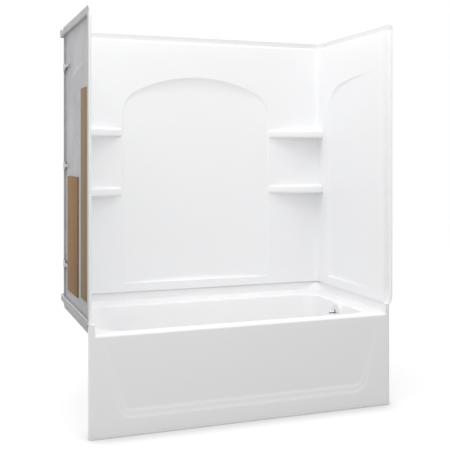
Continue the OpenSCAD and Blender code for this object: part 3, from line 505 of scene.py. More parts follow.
def shelf_sheet(z, mirror):
    """Shelf moulded into the corner: a ring of points at each station from the joint to the panel."""
    y0 = JOINT_Y + 3.0
    run_y = FACE_Y - y0
    radius = (SHELF_REACH ** 2 + run_y ** 2) / (2 * run_y)
    turn = math.asin(SHELF_REACH / radius)
    line = [(FACE_X, y, 1.0, 0.0) for y in [y0] + spread(y0 + 8, FACE_Y - CORNER_R, 4)]
    line += room_corner(0, 90, 6)
    line += [(x, FACE_Y, 0.0, 1.0)
             for x in spread(FACE_X - CORNER_R - 10, FACE_X - SHELF_REACH, 40 - len(line))]
    rows = []
    for i, (bx, by, bnx, bny) in enumerate(line):
        a = turn * i / (len(line) - 1)
        nx, ny = -math.sin(a), -math.cos(a)
        fx, fy = FACE_X + radius * nx, y0 + radius + radius * ny
        across = math.hypot(fx - bx, fy - by)
        dx, dy = ((fx - bx) / across, (fy - by) / across) if across > 1e-6 else (0.0, 0.0)

        def back(step):
            step = min(step, across * 0.45)
            return bx + dx * step, by + dy * step

        def front(inset):
            return min(fx - nx * inset, FACE_X + SHELF_SUNK), min(fy - ny * inset, FACE_Y + SHELF_SUNK)

        root = (bx + bnx * SHELF_SUNK, by + bny * SHELF_SUNK)
        under = z - SHELF_THICK
        ring = [(*root, z + SHELF_FILLET)]
        ring += [(*back(s), z + d) for s, d in rounding(SHELF_FILLET, 0, 90, 4)]
        ring += [(*front(s), z - d) for s, d in rounding(SHELF_LIP, 90, 0, 6)]
        ring += [(*front(s), under + d) for s, d in rounding(SHELF_UNDER, 0, 90, 6)]
        ring += [(*back(s), under - d) for s, d in rounding(SHELF_FILLET, 90, 0, 4)]
        ring.append((*root, under - SHELF_FILLET))
        rows.append(ring)
    if not mirror:
        rows.reverse()
    else:
        rows = [[(-x, y, h) for x, y, h in row] for row in rows]
    return rows, True


# End walls
RETURN_Y, FRONT_Y = -368.5, -406.5
HALF_D, HALF_TOP, HALF_SPRING, HALF_CORNER = 9.0, 1683.0, 1450.0, 200.0
HALF_REAR, HALF_FRONT = 261.0, -273.5
REAR_COVE, TOP_COVE, SILL_COVE = 84.0, 23.0, 19.0
LIP_TOP = 520.4
TIP_R = 18.0                   # upper front corner of the nailing flange
REAR_Y = JOINT_Y - 0.4         # rear edge, a hair clear of the back wall
TOP_STEPS = 24                 # columns under the flat top arc of the half arch
FRONT_STEPS = (0.0, 0.2, 0.45, 0.75, 1.0)


def bezier(p, q, r, t, steps):
    """Even steps along a cubic curve, first point left out."""
    def at(k):
        u = k / steps
        weights = ((1 - u) ** 3, 3 * u * (1 - u) ** 2, 3 * u * u * (1 - u), u ** 3)
        return tuple(sum(w * c for w, c in zip(weights, axis)) for axis in zip(p, q, r, t))
    return [at(k) for k in range(1, steps + 1)]


def half_outline():
    """Half arch from its front end over the top, down the rear edge and along the sill.

    Each entry is (y, z, inner y, inner z, edge): a point on the edge, the point where its cove
    has reached the panel's floor, and which edge of the wall lies outside it.
    """
    centre = HALF_REAR - HALF_CORNER
    run, rise = centre - HALF_FRONT, HALF_TOP - HALF_SPRING
    radius = (run ** 2 + rise ** 2 - HALF_CORNER ** 2) / (2 * (rise - HALF_CORNER))
    lean = math.asin(run / (radius - HALF_CORNER))
    points = []
    for i in range(TOP_STEPS + 1):
        a = lean * i / TOP_STEPS
        reach = TOP_COVE * (0.45 + 0.55 * i / TOP_STEPS)
        points.append((HALF_FRONT + radius * math.sin(a), HALF_TOP - radius + radius * math.cos(a),
                       HALF_FRONT + (radius - reach) * math.sin(a),
                       HALF_TOP - radius + (radius - reach) * math.cos(a), "top"))
    inner_y = HALF_REAR - REAR_COVE
    y0, z0 = points[-1][2:4]
    meet = inner_y - y0
    turn = bezier((y0, z0), (y0 + 0.62 * meet, z0 - 0.62 * meet * math.tan(lean)),
                  (inner_y, z0 - meet * math.tan(lean) - 60), (inner_y, HALF_SPRING - 40), 20)
    for i, (iy, iz) in enumerate(turn, 1):
        a = lean + (math.pi / 2 - lean) * i / 20
        points.append((centre + HALF_CORNER * math.sin(a), HALF_SPRING + HALF_CORNER * math.cos(a),
                       iy, iz, "top" if i <= 16 else "rear"))
    for t in spread(0, 1, 18)[1:]:
        z, low, high = SILL_Z + (HALF_SPRING - SILL_Z) * (1 - t), SILL_Z + SILL_COVE, HALF_SPRING - 40
        points.append((HALF_REAR, z, inner_y, high + (low - high) * t, "rear" if t < 1 else "corner"))
    for y in spread(HALF_REAR, HALF_FRONT, 24)[1:]:
        pull = REAR_COVE * (y - HALF_FRONT) / (HALF_REAR - HALF_FRONT)
        points.append((y, SILL_Z, y - pull, SILL_Z + SILL_COVE, "sill"))
    return points


def foot_flare(z):
    """How far the front return leans forward near its foot, to stand on the tub's strip."""
    return 23.0 * (1 - min(1.0, (z - LEDGE_Z) / 60.0)) ** 1.5


def half_depth(y):
    """Depth of the half arch's panel, which runs out towards the front."""
    return HALF_D * max(0.0, min(1.0, (y - HALF_FRONT) / (200.0 - HALF_FRONT)))


def outer_points(outline, flat, corner_z):
    """Point on the wall's edge outside each outline entry, and where its rear edge starts and ends."""
    first = max(i for i, p in enumerate(outline) if p[4] == "top") + 1
    last = next(i for i, p in enumerate(outline) if p[4] == "corner")
    points = []
    for i, (y, _, _, _, edge) in enumerate(outline):
        if edge == "top":
            share = max(0.0, (i - TOP_STEPS) / (first - TOP_STEPS))
            points.append((y + (flat - y) * share ** 2, corner_z))
        elif edge == "rear":
            points.append((flat, corner_z + (LEDGE_Z - corner_z) * (i - first) / (last - first)))
        else:
            points.append((flat if edge == "corner" else y, LEDGE_Z))
    return points, first, last


def face_sheets(outline, outer, front):
    """Rings round the half arch and down its border, the panel's floor, and the strip in front."""
    ring = []
    for t in (0.0, 0.3, 0.6, 0.85):
        ring.append([(FACE_X, y0 + (p[0] - y0) * t, z0 + (p[1] - z0) * t)
                     for (y0, z0), p in zip(outer, outline)])
    row = []
    for y, z, inner_y, inner_z, _ in outline:
        length = max(1.0, math.hypot(y - inner_y, z - inner_z))
        row.append((FACE_X, y + 1.2 * (y - inner_y) / length, z + 1.2 * (z - inner_z) / length))
    ring.append(row)
    for f in COVES:
        row = []
        for y, z, inner_y, inner_z, _ in outline:
            py = y + (inner_y - y) * f
            row.append((FACE_X + half_depth(py) * cove(f), py, z + (inner_z - z) * f))
        ring.append(row)
    inner = ring[-1]
    floor_rows = []
    for i in range(len(outline) // 2 + 1):
        (_, ya, za), (_, yb, zb) = inner[-1 - i], inner[i]
        row = [(ya + (yb - ya) * t, za + (zb - za) * t) for t in spread(0, 1, 16)]
        floor_rows.append([(FACE_X + half_depth(y), y, z) for y, z in row])
    border = [row[0] for row in ring] + floor_rows[0][-2:0:-1] + [row[-1] for row in reversed(ring)]
    strip = [[(x if t == 0 else FACE_X, y + (front - HALF_FRONT) * t, z) for x, y, z in border]
             for t in FRONT_STEPS]
    return ring, floor_rows, strip


def frame_sheet(top_ys, front_zs, front, corner_z):
    """Rounded step and nailing flange, along the top and down the front."""
    # each ring is a distance outwards from the step's plane and a distance off the room face
    rings = [(-d, s) for s, d in rounding(EDGE_R, 0, 90, 8)]
    rings += [(0.0, FLANGE_OUT - 3), (0.3, FLANGE_OUT - 1), (1.2, FLANGE_OUT - 0.2), (3.0, FLANGE_OUT)]
    rows = []
    for out, off in rings:
        r = EDGE_R + out
        row = [(FACE_X + max(off, setback), y, corner_z + r) for y, setback in top_ys]
        row += [(FACE_X + off, front - r * math.sin(a), corner_z + r * math.cos(a))
                for a in arc(0, 90, 6)[1:]]
        row += [(FACE_X + off, front - r - foot_flare(z) * min(1.0, off / EDGE_R),
                 z if off < FLANGE_OUT else max(z, LIP_TOP)) for z in front_zs[1:]]
        rows.append(row)
    x = FACE_X + FLANGE_OUT
    row = [(x, y, band_top(REAR_Y - y)) for y, _ in top_ys[:-1]] + [(x, FRONT_Y + TIP_R, TOP_Z)]
    row += [(x, FRONT_Y + d, TOP_Z - s) for s, d in rounding(TIP_R, 0, 90, 6)[1:]]
    row += [(x, FRONT_Y + 12 * max(0.0, 1 - (z - LIP_TOP) / 16) ** 2, min(max(z, LIP_TOP), TOP_Z - TIP_R))
            for z in front_zs[1:]]
    rows.append(row)
    return rows


def end_wall_sheets():
    """Right end wall: face with the half arch, rounded joint edge, and the frame of top and front."""
    flat, front, corner_z = REAR_Y - 3.0, RETURN_Y + EDGE_R, STEP_Z - EDGE_R
    outline = half_outline()
    outer, first, last = outer_points(outline, flat, corner_z)
    ring, floor_rows, strip = face_sheets(outline, outer, front)
    edge = [(REAR_Y - run, setback) for setback, run in JOINT_EDGE] + [(flat, 0.0)]
    joint = [[(FACE_X + setback, y, outer[i][1]) for y, setback in edge] for i in range(last, first - 1, -1)]
    top_ys = edge[:-1] + [(outer[i][0], 0.0) for i in range(first, -1, -1)]
    top_ys += [(HALF_FRONT + (front - HALF_FRONT) * t, 0.0) for t in FRONT_STEPS[1:]]
    frame_rows = frame_sheet(top_ys, [p[2] for p in strip[-1]], front, corner_z)
    return [(rows, False) for rows in (ring, floor_rows, strip, joint, frame_rows)]


def box_sheets(low, high):
    """Closed box as one looped sheet and two caps."""
    (x0, y0, z0), (x1, y1, z1) = low, high
    ring = [(x0, y0), (x1, y0), (x1, y1), (x0, y1)]
    side = [[(x, y, z) for x, y in ring] for z in (z0, z1)]
    cap = [[(x0, y0, z1), (x1, y0, z1)], [(x0, y1, z1), (x1, y1, z1)]]
    foot = [[(x0, y1, z0), (x1, y1, z0)], [(x0, y0, z0), (x1, y0, z0)]]
    return [(side, True), (cap, False), (foot, False)]


def mirrored(sheets):
    return [([[(-x, y, z) for x, y, z in reversed(row)] for row in rows], loop) for rows, loop in sheets]


# Bathtub
STRIP_X, STRIP_W = 757.0, 27.0
BASIN_XL, BASIN_XR, BASIN_YF, BASIN_YB = -685.0, 660.0, -327.5, 277.5
BASIN_RL, BASIN_RR = 112.0, 84.0
FLOOR_Z, BACKREST, END_DRAFT, SIDE_DRAFT, FILLET = 110.0, 215.0, 20.0, 56.0, 44.0
RIM_R = 12.0        # rounded top edge of the apron
BASIN_EDGE = 9.0    # rounded edge between rim and basin
FOOT_COVE = 9.0     # radius of the cove at the riser's foot
RISER_X = 749.5     # riser, set back under the foot of the walls
RISER_R, LEDGE_R = 100.0, 33.0                    # corner radii at the riser's foot and at the ledge
LEDGE_EDGE = 4.0                                  # rounded edge of the ledge
ROLL_Y = APRON_Y + RIM_R + 2.0                    # where the rim starts to roll over into the apron
SIDE_END_Y = APRON_Y + 23.5                       # where the strips' sides end
N_SIDE, N_CORNER, N_BACK, N_FRONT = 18, 12, 44, 44


def turn_right(x, y, r, start):
    """Quarter turn of a plan round a centre, first point left out."""
    return [(px, py) for px, py, _, _ in corner(x, y, r, start, start - 90, N_CORNER)[1:]]


def three_sides(xl, xr, yl, yr, yb, rl, rr):
    """Left side, rear and right side of a plan, from yl at the left front to yr at the right front."""
    points = [(xl, y) for y in spread(yl, yb - rl, N_SIDE)] + turn_right(xl + rl, yb - rl, rl, 180)
    points += [(x, yb) for x in spread(xl + rl, xr - rr, N_BACK)[1:]] + turn_right(xr - rr, yb - rr, rr, 90)
    return points + [(xr, y) for y in spread(yb - rr, yr, N_SIDE)[1:]]


def round_room(x, r):
    """Three sides that stand off the end walls as far as off the back wall."""
    return three_sides(-x, x, ROLL_Y, ROLL_Y, x - FACE_X + FACE_Y, r, r)


def basin_outline(grow, fall, fill=0.0):
    """Closed outline of the basin, in step with the rim; fall is 0 at the rim, 1 at the floor."""
    xl = BASIN_XL + BACKREST * fall + fill - grow
    xr = BASIN_XR - END_DRAFT * fall - fill + grow
    yf = BASIN_YF + SIDE_DRAFT * fall + fill - grow
    yb = BASIN_YB - SIDE_DRAFT * fall - fill + grow
    widest = min((yb - yf) / 2 - 1, (xr - xl) / 2 - 1)
    rl, rr = (min(max(4.0, r - fill + grow), widest) for r in (BASIN_RL, BASIN_RR))
    points = three_sides(xl, xr, yf + rl, yf + rr, yb, rl, rr)
    points += turn_right(xr - rr, yf + rr, rr, 0) + [(x, yf) for x in spread(xr - rr, xl + rl, N_FRONT)[1:]]
    return points + turn_right(xl + rl, yf + rl, rl, -90)[:-1]


def basin_sheet():
    """Floor, sides, rounded edge and rim, out to the foot of the riser and to the apron's roll."""
    three = round_room(RISER_X - FOOT_COVE, RISER_R - FOOT_COVE)
    count, foot_x = len(basin_outline(0.0, 0.0)) - len(three), RISER_X - FOOT_COVE
    edge = [(foot_x - 2 * foot_x * (i + 1) / (count + 1), ROLL_Y) for i in range(count)]
    # from the floor's middle line outwards, so that the faces look up and into the basin
    inside = basin_outline(0.0, 1.0, FILLET + 175)
    mid_y, ends = (BASIN_YF + BASIN_YB) / 2, 30.0
    low, high = min(p[0] for p in inside) + ends, max(p[0] for p in inside) - ends
    rows = [[(min(max(x, low), high), mid_y, FLOOR_Z) for x, _ in inside]]
    rows += [[(x, y, FLOOR_Z) for x, y in basin_outline(0.0, 1.0, FILLET + d)]
             for d in (175, 150, 110, 70, 35, 12)]
    # height, how far the edge has opened, how far the fillet still stands in
    levels = [(FLOOR_Z + s, 0.0, d) for s, d in rounding(FILLET, 0, 84, 10)]
    levels += [(z, 0.0, 0.0) for z in spread(175, 415, 8) + [428, 438]]
    levels += [(RIM_Z - d, s, 0.0) for s, d in rounding(BASIN_EDGE, 0, 90, 8)]
    for z, grow, fill in levels:
        fall = (RIM_Z - z) / (RIM_Z - FLOOR_Z)
        rows.append([(x, y, z) for x, y in basin_outline(grow, fall, fill)])
    inner = rows[-1]
    for t in (0.06, 0.5, 0.94, 1.0):
        rows.append([(x + (x1 - x) * t, y + (y1 - y) * t, RIM_Z)
                     for (x, y, _), (x1, y1) in zip(inner, three + edge)])
    return rows, True


def ledge_sheet():
    """Cove, riser, ledge and lip on three sides; each level is x, z and the corner's radius."""
    rise = [(RISER_X - d, RIM_Z + s, RISER_R - d) for s, d in rounding(FOOT_COVE, 0, 84, 8)]
    rise += [(RISER_X, RIM_Z + (LEDGE_Z - RIM_Z) * t, RISER_R + (LEDGE_R - RISER_R) * t)
             for t in (0.45, 0.6, 0.75, 0.9)]
    rise += [(RISER_X + s, LEDGE_Z - d, LEDGE_R + s) for s, d in rounding(LEDGE_EDGE, 0, 90, 4)]
    rise += [(STRIP_X - d, z, LEDGE_R + 9 - d) for d, z in (
        (1.0, LEDGE_Z), (0.3, LEDGE_Z + 0.4), (0.0, LEDGE_Z + 1.5), (0.0, LIP_TOP - 0.4))]
    return [[(px, py, z) for px, py in round_room(x, r)] for x, z, r in rise], False


# Apron
FOOT_HALF, HEAD_HALF, APRON_FOOT_Z, APRON_HEAD_Z = 624.0, 698.0, 77.0, 420.0
APRON_D, APRON_BEVEL, PANEL_R = 5.5, 44.0, 58.0   # depth of the sunk panel, run and corners of its border
APRON_FOOT_R = 3.0
# columns across the border, measured inwards from its edge
BORDER_GAPS = (-24, -16, -10, -6, -3, 0, 3, 6, 9, 12, 15, 19, 23, 27, 31, 34, 37, 40, 43, 46, 50, 55, 62, 70,
               78, 88, 98, 108)


def apron_edge(z):
    z0 = APRON_FOOT_Z + 26.0
    return FOOT_HALF + (HEAD_HALF - FOOT_HALF) * (z - z0) / (APRON_HEAD_Z + 40.0 - z0)


def double_step(f):
    """0 to 1 as f goes 0 to 1: two short slopes with a gentler one between them."""
    return 0.36 * ramp(f / 0.3, 0.3) + 0.28 * min(1.0, max(0.0, f)) + 0.36 * ramp((f - 0.7) / 0.3, 0.3)


def apron_depth(x, z):
    """Depth of the sunk panel below the apron's face."""
    lean = APRON_D * max(0.0, min(1.0, (APRON_HEAD_Z - z) / (APRON_HEAD_Z - APRON_FOOT_Z - APRON_BEVEL)))
    if lean <= 0:
        return 0.0
    side, foot = apron_edge(z) - abs(x), z - APRON_FOOT_Z
    if side < PANEL_R and foot < PANEL_R:
        inside = PANEL_R - math.hypot(PANEL_R - side, PANEL_R - foot)
    else:
        inside = min(side, foot)
    return lean * double_step(inside / (APRON_BEVEL * lean / APRON_D))


def apron_columns(z):
    right = [apron_edge(z) - gap for gap in BORDER_GAPS]
    right = [STRIP_X - STRIP_W, (STRIP_X - STRIP_W + right[0]) / 2] + right
    return right + spread(right[-1], -right[-1], 26)[1:-1] + [-x for x in reversed(right)]


def apron_sheet():
    """Rolled top edge, face with its sunk panel, and the foot turned back."""
    top, foot = apron_columns(RIM_Z - RIM_R), apron_columns(10)
    zs = spread(442, 140, 22) + [134, 130, 126, 123, 120, 117, 114, 111, 108, 104, 100, 96, 92, 89, 86, 83,
                                 80, 77, 74, 70, 64, 50, 30, 12]
    rows = [[(x, ROLL_Y, RIM_Z) for x in top]]
    rows += [[(x, APRON_Y + d, RIM_Z - s) for x in top] for s, d in rounding(RIM_R, 0, 90, 8)]
    rows += [[(x, APRON_Y + apron_depth(x, z), z) for x in apron_columns(z)] for z in zs]
    rows += [[(x, APRON_Y + s, d) for x in foot] for s, d in rounding(APRON_FOOT_R, 0, 90, 4)]
    rows.append([(x, APRON_Y + 22, 0.0) for x in foot])
    return rows, False


def set_back(plan, levels):
    """A plan path at each level, moved in by the level's setback."""
    return [[(x - nx * back, y - ny * back, z) for x, y, nx, ny in plan] for z, back in levels]


def strip_sheets():
    """Strips beside the apron, and above the rim the posts that end level with the ledge."""
    inner_x, side_r, joint_z = STRIP_X - STRIP_W, 12.0, 452.0
    side = corner(STRIP_X - side_r, APRON_Y + side_r, side_r, -90, 0, 8)
    side += [(STRIP_X, y, 1.0, 0.0) for y in (APRON_Y + 18, SIDE_END_Y)]
    plan = [(x, APRON_Y, 0.0, -1.0) for x in (inner_x, inner_x + 8)] + side
    levels = [(d, s) for s, d in rounding(APRON_FOOT_R, 90, 0, 4)]
    strip = set_back(plan, levels + [(z, 0.0) for z in (60, 200, 350, joint_z)])
    post_x, post_y, r, top_r = 746.0, APRON_Y + 27.5, 4.0, 2.0
    plan = [(post_x, post_y, 0.0, 1.0), (inner_x + r, post_y, 0.0, 1.0)]
    plan += corner(inner_x + r, post_y - r, r, 90, 180, 4)[1:]
    plan += corner(inner_x + r, APRON_Y + r, r, 180, 270, 4)
    levels = [(LEDGE_Z - d, s) for s, d in rounding(top_r, 0, 90, 4)]
    post = set_back(plan + side, [(joint_z, 0.0), (480.0, 0.0)] + levels)
    post.append([(min(max(x, post_x), STRIP_X - top_r), post_y - top_r, z) for x, _, z in post[-1]])
    right = [(strip, False), (post, False)]
    return right + mirrored(right)


# Finishes
def gelcoat(name, colour, roughness, band=None):
    """White moulded skin: faint tone drift and orange peel; band darkens the colour of the nailing flange
    along the top.
    """
    f = Finish(name, Specular_IOR_Level=0.45, Coat_Roughness=0.08)
    drift = f.noise(1.3, 2.0)
    fine = f.noise(420.0, 1.0)
    skin = f.blend(drift, colour, tuple(c * 0.985 for c in colour))
    if band:
        trim = ((f.height() - (STEP_Z + 2) * MM) / (3 * MM)).clamp()
        skin = f.blend(trim, skin, tuple(c * band for c in colour))
    f.feed(Base_Color=skin, Roughness=(drift - 0.5) * 0.06 + roughness)
    return f.bump(fine, 0.000004, 0.4).material


def raw_laminate(name, colour):
    """Unpolished back of the moulding, with its chopped-glass mottle."""
    f = Finish(name, Specular_IOR_Level=0.3)
    strands = f.noise(55.0, 5.0, 0.7, distortion=1.6)
    cloud = f.noise(5.0, 4.0, 0.6)
    tone = ((strands - 0.5) * 2.2 + (cloud - 0.5) * 1.6 + 0.6).clamp()
    dark = tuple(c * 0.74 for c in colour)
    f.feed(Base_Color=f.blend(tone, dark, colour), Roughness=0.62 + strands * 0.2)
    return f.bump(strands, 0.0004, 0.5).material


def board(name, light, dark):
    """Pressed brown board with long grain and small chips."""
    f = Finish(name, Specular_IOR_Level=0.25)
    grain = f.noise(14.0, 5.0, 0.6, place=f.stretched((1.0, 6.0, 0.35)), distortion=0.6)
    chips = f.noise(210.0, 3.0, 0.7)
    tone = (grain * 0.7 + chips * 0.35).clamp()
    f.feed(Base_Color=f.ramp(tone, (0.3, dark), (0.75, light)), Roughness=0.66 + chips * 0.2)
    return f.bump(grain * 0.5 + chips * 0.5, 0.0005, 0.6).material


def plastic(name, colour, roughness):
    """Moulded plastic or rubber with a fine grain and a little wear."""
    f = Finish(name, Specular_IOR_Level=0.4)
    fine = f.noise(120.0, 2.0)
    skin = f.blend(f.noise(9.0, 3.0), colour, tuple(c * 0.93 for c in colour))
    f.feed(Base_Color=skin, Roughness=roughness + fine * 0.1)
    return f.bump(fine, 0.00008, 0.6).material


def metal(name, colour, roughness, streak=(1.0, 1.0, 1.0), painted_shade_below=None):
    """Plated or bare metal; below a height given in mm its face is painted near black, as painted shade and
    painted dark reflection on its underside.
    """
    f = Finish(name, Metallic=1.0)
    fine = f.noise(60.0, 3.0, place=f.stretched(streak))
    smudge = f.noise(14.0, 2.0)
    skin = f.blend(smudge, colour, tuple(c * 0.95 for c in colour))
    # painted shade: below the given height the base colour turns near black, standing for shade and dark
    # reflection
    if painted_shade_below:
        shadow = ((painted_shade_below * MM - f.height()) / (1.5 * MM)).clamp()
        skin = f.blend(shadow, skin, (0.02, 0.02, 0.021))
    f.feed(Base_Color=skin, Roughness=roughness + fine * 0.06 + smudge * 0.04)
    return f.bump(fine, 0.00002, 0.4).material


FINISHES = {
    "tub_gelcoat": gelcoat("tub_gelcoat", (0.92, 0.92, 0.925), 0.32),
    "wall_gelcoat": gelcoat("wall_gelcoat", (0.91, 0.912, 0.918), 0.45, band=0.84),
    "backer_wood": board("backer_wood", (0.345, 0.205, 0.1), (0.2, 0.112, 0.052)),
    "clip_plastic": plastic("clip_plastic", (0.55, 0.55, 0.56), 0.45),
    "foot_rubber": plastic("foot_rubber", (0.05, 0.05, 0.055), 0.6),
    "chrome_trim": metal("chrome_trim", (0.88, 0.88, 0.89), 0.08),
    "seal_rubber": plastic("seal_rubber", (0.04, 0.04, 0.04), 0.55),
    "waste_plastic": plastic("waste_plastic", (0.78, 0.78, 0.75), 0.35),
    "steel_small": metal("steel_small", (0.6, 0.6, 0.62), 0.25, (1.0, 8.0, 1.0)),
    "brass_inner": metal("brass_inner", (0.74, 0.56, 0.24), 0.22),
}
RAW_BACK = raw_laminate("raw_laminate", (0.55, 0.55, 0.563))
TALL_WOOD = board("tall_board_wood", (0.325, 0.23, 0.128), (0.19, 0.13, 0.07))
# trip lever's chrome with painted shade: the lever's lower half is painted near black
LEVER_CHROME_PAINTED_SHADE = metal("lever_chrome", (0.88, 0.88, 0.89), 0.1, painted_shade_below=405.5)

SLOTS = {row["node"]: row["material_slot"] for row in frame["record"]["subparts"]}
for node, slot_name in SLOTS.items():
    coat(bpy.data.objects[node], FINISHES[slot_name])


# Pieces
def finish_piece(piece, body, node):
    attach(piece, body)
    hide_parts(node)


def moulded(name, groups, extra, front_finish, solids=()):
    """Thickened groups of sheets plus closed extra sheets, with the raw laminate on the hidden side."""
    shells = [mesh_piece(f"{name}_{i}", group, SHELL, (front_finish, RAW_BACK))
              for i, group in enumerate(groups)]
    for label, group, material in (("extra", extra, RAW_BACK), ("solid", solids, front_finish)):
        if group:
            shells.append(mesh_piece(f"{name}_{label}", group, finishes=(material,)))
    return join(name, shells)


def joint_flange(y0, y1):
    """Hidden flange at the right-hand joint of the walls."""
    return box_sheets((FACE_X + 3.0, y0, LEDGE_Z + SHELL), (FACE_X + 16.4, y1, STEP_Z - SHELL))


# Back wall with its four shelves
FOOT_OUT, FLANGE_THICK = 16.5, 4.0   # outer edge of the walls' hidden foot; thickness of the joint flanges
hidden = sweep(SHELL, FOOT_OUT, LEDGE_Z, LEDGE_Z + SHELL, JOINT_Y)
flange = joint_flange(JOINT_Y, JOINT_Y + FLANGE_THICK)
back_wall = moulded("back_wall_skin", [[back_wall_sheet()]], hidden + flange + mirrored(flange),
                    FINISHES["wall_gelcoat"],
                    [shelf_sheet(z, mirror) for z in SHELF_TOPS for mirror in (False, True)])
finish_piece(back_wall, "unit", "back_wall")

# End walls
for node in ("right_end_wall", "left_end_wall"):
    sheets = end_wall_sheets()
    hidden = box_sheets((FACE_X + SHELL, RETURN_Y + SHELL, LEDGE_Z),
                        (FACE_X + FOOT_OUT, REAR_Y, LEDGE_Z + SHELL))
    hidden += joint_flange(REAR_Y - FLANGE_THICK, REAR_Y)
    if node == "left_end_wall":
        sheets, hidden = mirrored(sheets), mirrored(hidden)
    wall = moulded(f"{node}_skin", [sheets], hidden, FINISHES["wall_gelcoat"])
    finish_piece(wall, "unit", node)

# Bathtub: the basin takes the overflow's boss and hole and the drain's seat before the apron joins it
BASIN_Y, BOSS_X, OVER_Z, DRAIN_X = -25.0, 646.0, 405.0, 540.0
over_axis, drain_axis = inward(BOSS_X, BASIN_Y, OVER_Z), upright(DRAIN_X, BASIN_Y, FLOOR_Z)
BOSS = [(0, -17), (60, -17), (60, -16.2), (53, -8), (50.2, -4.4), (48.4, -1.9), (46.6, -0.5), (44.4, 0),
        (0, 0)]
basin = moulded("basin_shell", [[basin_sheet(), ledge_sheet()]], [], FINISHES["tub_gelcoat"])
carve(basin, [turned("boss", BOSS, over_axis)], "UNION")
carve(basin, [plug("hole", 27, -40, 4, over_axis), plug("gasket_pocket", 42, -40, -5, over_axis),
              plug("drain_hole", 25, -20, 4, drain_axis), plug("drain_seat", 34.4, -3, 4, drain_axis)])
lip_drop = sweep(FLANGE_OUT, 22.0, 491.0, 503.0, SIDE_END_Y)
skirt = moulded("tub_skirt", [[sheet] for sheet in [apron_sheet()] + strip_sheets()], lip_drop,
                FINISHES["tub_gelcoat"])
finish_piece(join("bathtub_skin", [basin, skirt]), "unit", "bathtub")

# Overflow cover with its slot and ears, and the trip lever
PIPE_X, TEE_Z = 697.0, 65.0
GRIP_X, HUB_X = 634.0, 657.0    # root of the lever's grip and its hub; it turns about the pipe's axis
COVER = [(0, 0), (37.4, 0), (38, 0.5), (38, 1.6), (37.2, 2.7), (35, 3.5), (30, 4.4), (24, 5.1), (17, 5.6),
         (9, 5.9), (0, 6)]
GRIP = [(0, -1), (5.6, -1), (6.3, -0.4), (6.3, 1.2), (5.6, 2.6), (5.2, 6), (5.2, 11), (5.6, 16), (6.3, 20.5),
        (6.5, 22), (5.9, 24), (4.4, 25.4), (2.4, 26.1), (0, 26.3)]
HUB = [(0, -4), (6.4, -4), (7, -3.4), (7, 3.4), (6.4, 4), (0, 4)]


def axis_box(x0, x1, y, half_y, half_z):
    """Box from x0 to x1 whose middle lies y beside the overflow's axis."""
    middle = BASIN_Y + y
    return box_sheets((x0, middle - half_y, OVER_Z - half_z), (x1, middle + half_y, OVER_Z + half_z))


cover = carve(turned("overflow_cover", COVER, over_axis),
              [mesh_piece("slot", axis_box(BOSS_X - 9, BOSS_X + 2, 0, 4.6, 13))])
ears = mesh_piece("ears", axis_box(BOSS_X - 1, BOSS_X + 17, -6.5, 1.5, 5)
                  + axis_box(BOSS_X - 1, BOSS_X + 17, 6.5, 1.5, 5))
cover = join("overflow_cover", [cover, ears])
lever = [lathe(GRIP, 32, inward(GRIP_X, BASIN_Y, OVER_Z)), lathe(HUB, 32, crosswise(HUB_X, BASIN_Y, OVER_Z))]
for radius, half in ((4, 4), (1.9, 8)):
    pivot = [(0, -half), (radius, -half), (radius, half), (0, half)]
    lever.append(lathe(pivot, 24, crosswise(PIPE_X, BASIN_Y, OVER_Z)))
lever += axis_box(GRIP_X - 0.5, HUB_X, 0, 4, 3) + axis_box(HUB_X, PIPE_X, 0, 3.9, 3)
lever = mesh_piece("trip_lever_bar", lever)
for piece, body, node, finish in ((cover, "unit", "overflow_plate", FINISHES["chrome_trim"]),
                                  (lever, "lever", "trip_lever", LEVER_CHROME_PAINTED_SHADE)):
    coat(piece, finish)
    finish_piece(piece, body, node)

# Perforated strainer, built at the origin and set over the drain
SIEVE = [(2.3, 0), (26.4, 0), (27, 0.5), (27, 1.3), (26.2, 1.9), (22, 2), (6, 1.6), (2.3, 1.6), (2.3, 0)]
sieve = Repeat("strainer_holes", {
    "Hole radius": 2.1 * MM, "Inner holes": 6, "Inner ring": 9 * MM, "Middle holes": 12,
    "Middle ring": 15 * MM, "Outer holes": 16, "Outer ring": 21 * MM})
punch = sieve.node("GeometryNodeMeshCylinder", {},
                   {"Vertices": 20, "Radius": sieve.given["Hole radius"], "Depth": 0.02})
punched = [sieve.ring(f"{which} holes", f"{which} ring", punch) for which in ("Inner", "Middle", "Outer")]
punches = sieve.node("GeometryNodeJoinGeometry", {}, {"Geometry": punched})
punches = sieve.node("GeometryNodeRealizeInstances", {}, {"Geometry": punches})
open_disc = sieve.node("GeometryNodeMeshBoolean", {"operation": "DIFFERENCE", "solver": "EXACT"},
                       {"Mesh 1": sieve.given["Geometry"], "Mesh 2": punches})
disc = mesh_piece("strainer", [lathe(SIEVE, 72, upright(0, 0, 0))])
strainer = sieve.grow(disc, open_disc, FINISHES["chrome_trim"])
strainer.data.transform(Matrix.Translation((DRAIN_X * MM, BASIN_Y * MM, (FLOOR_Z - 1.6) * MM)))
finish_piece(strainer, "unit", "strainer_grid")

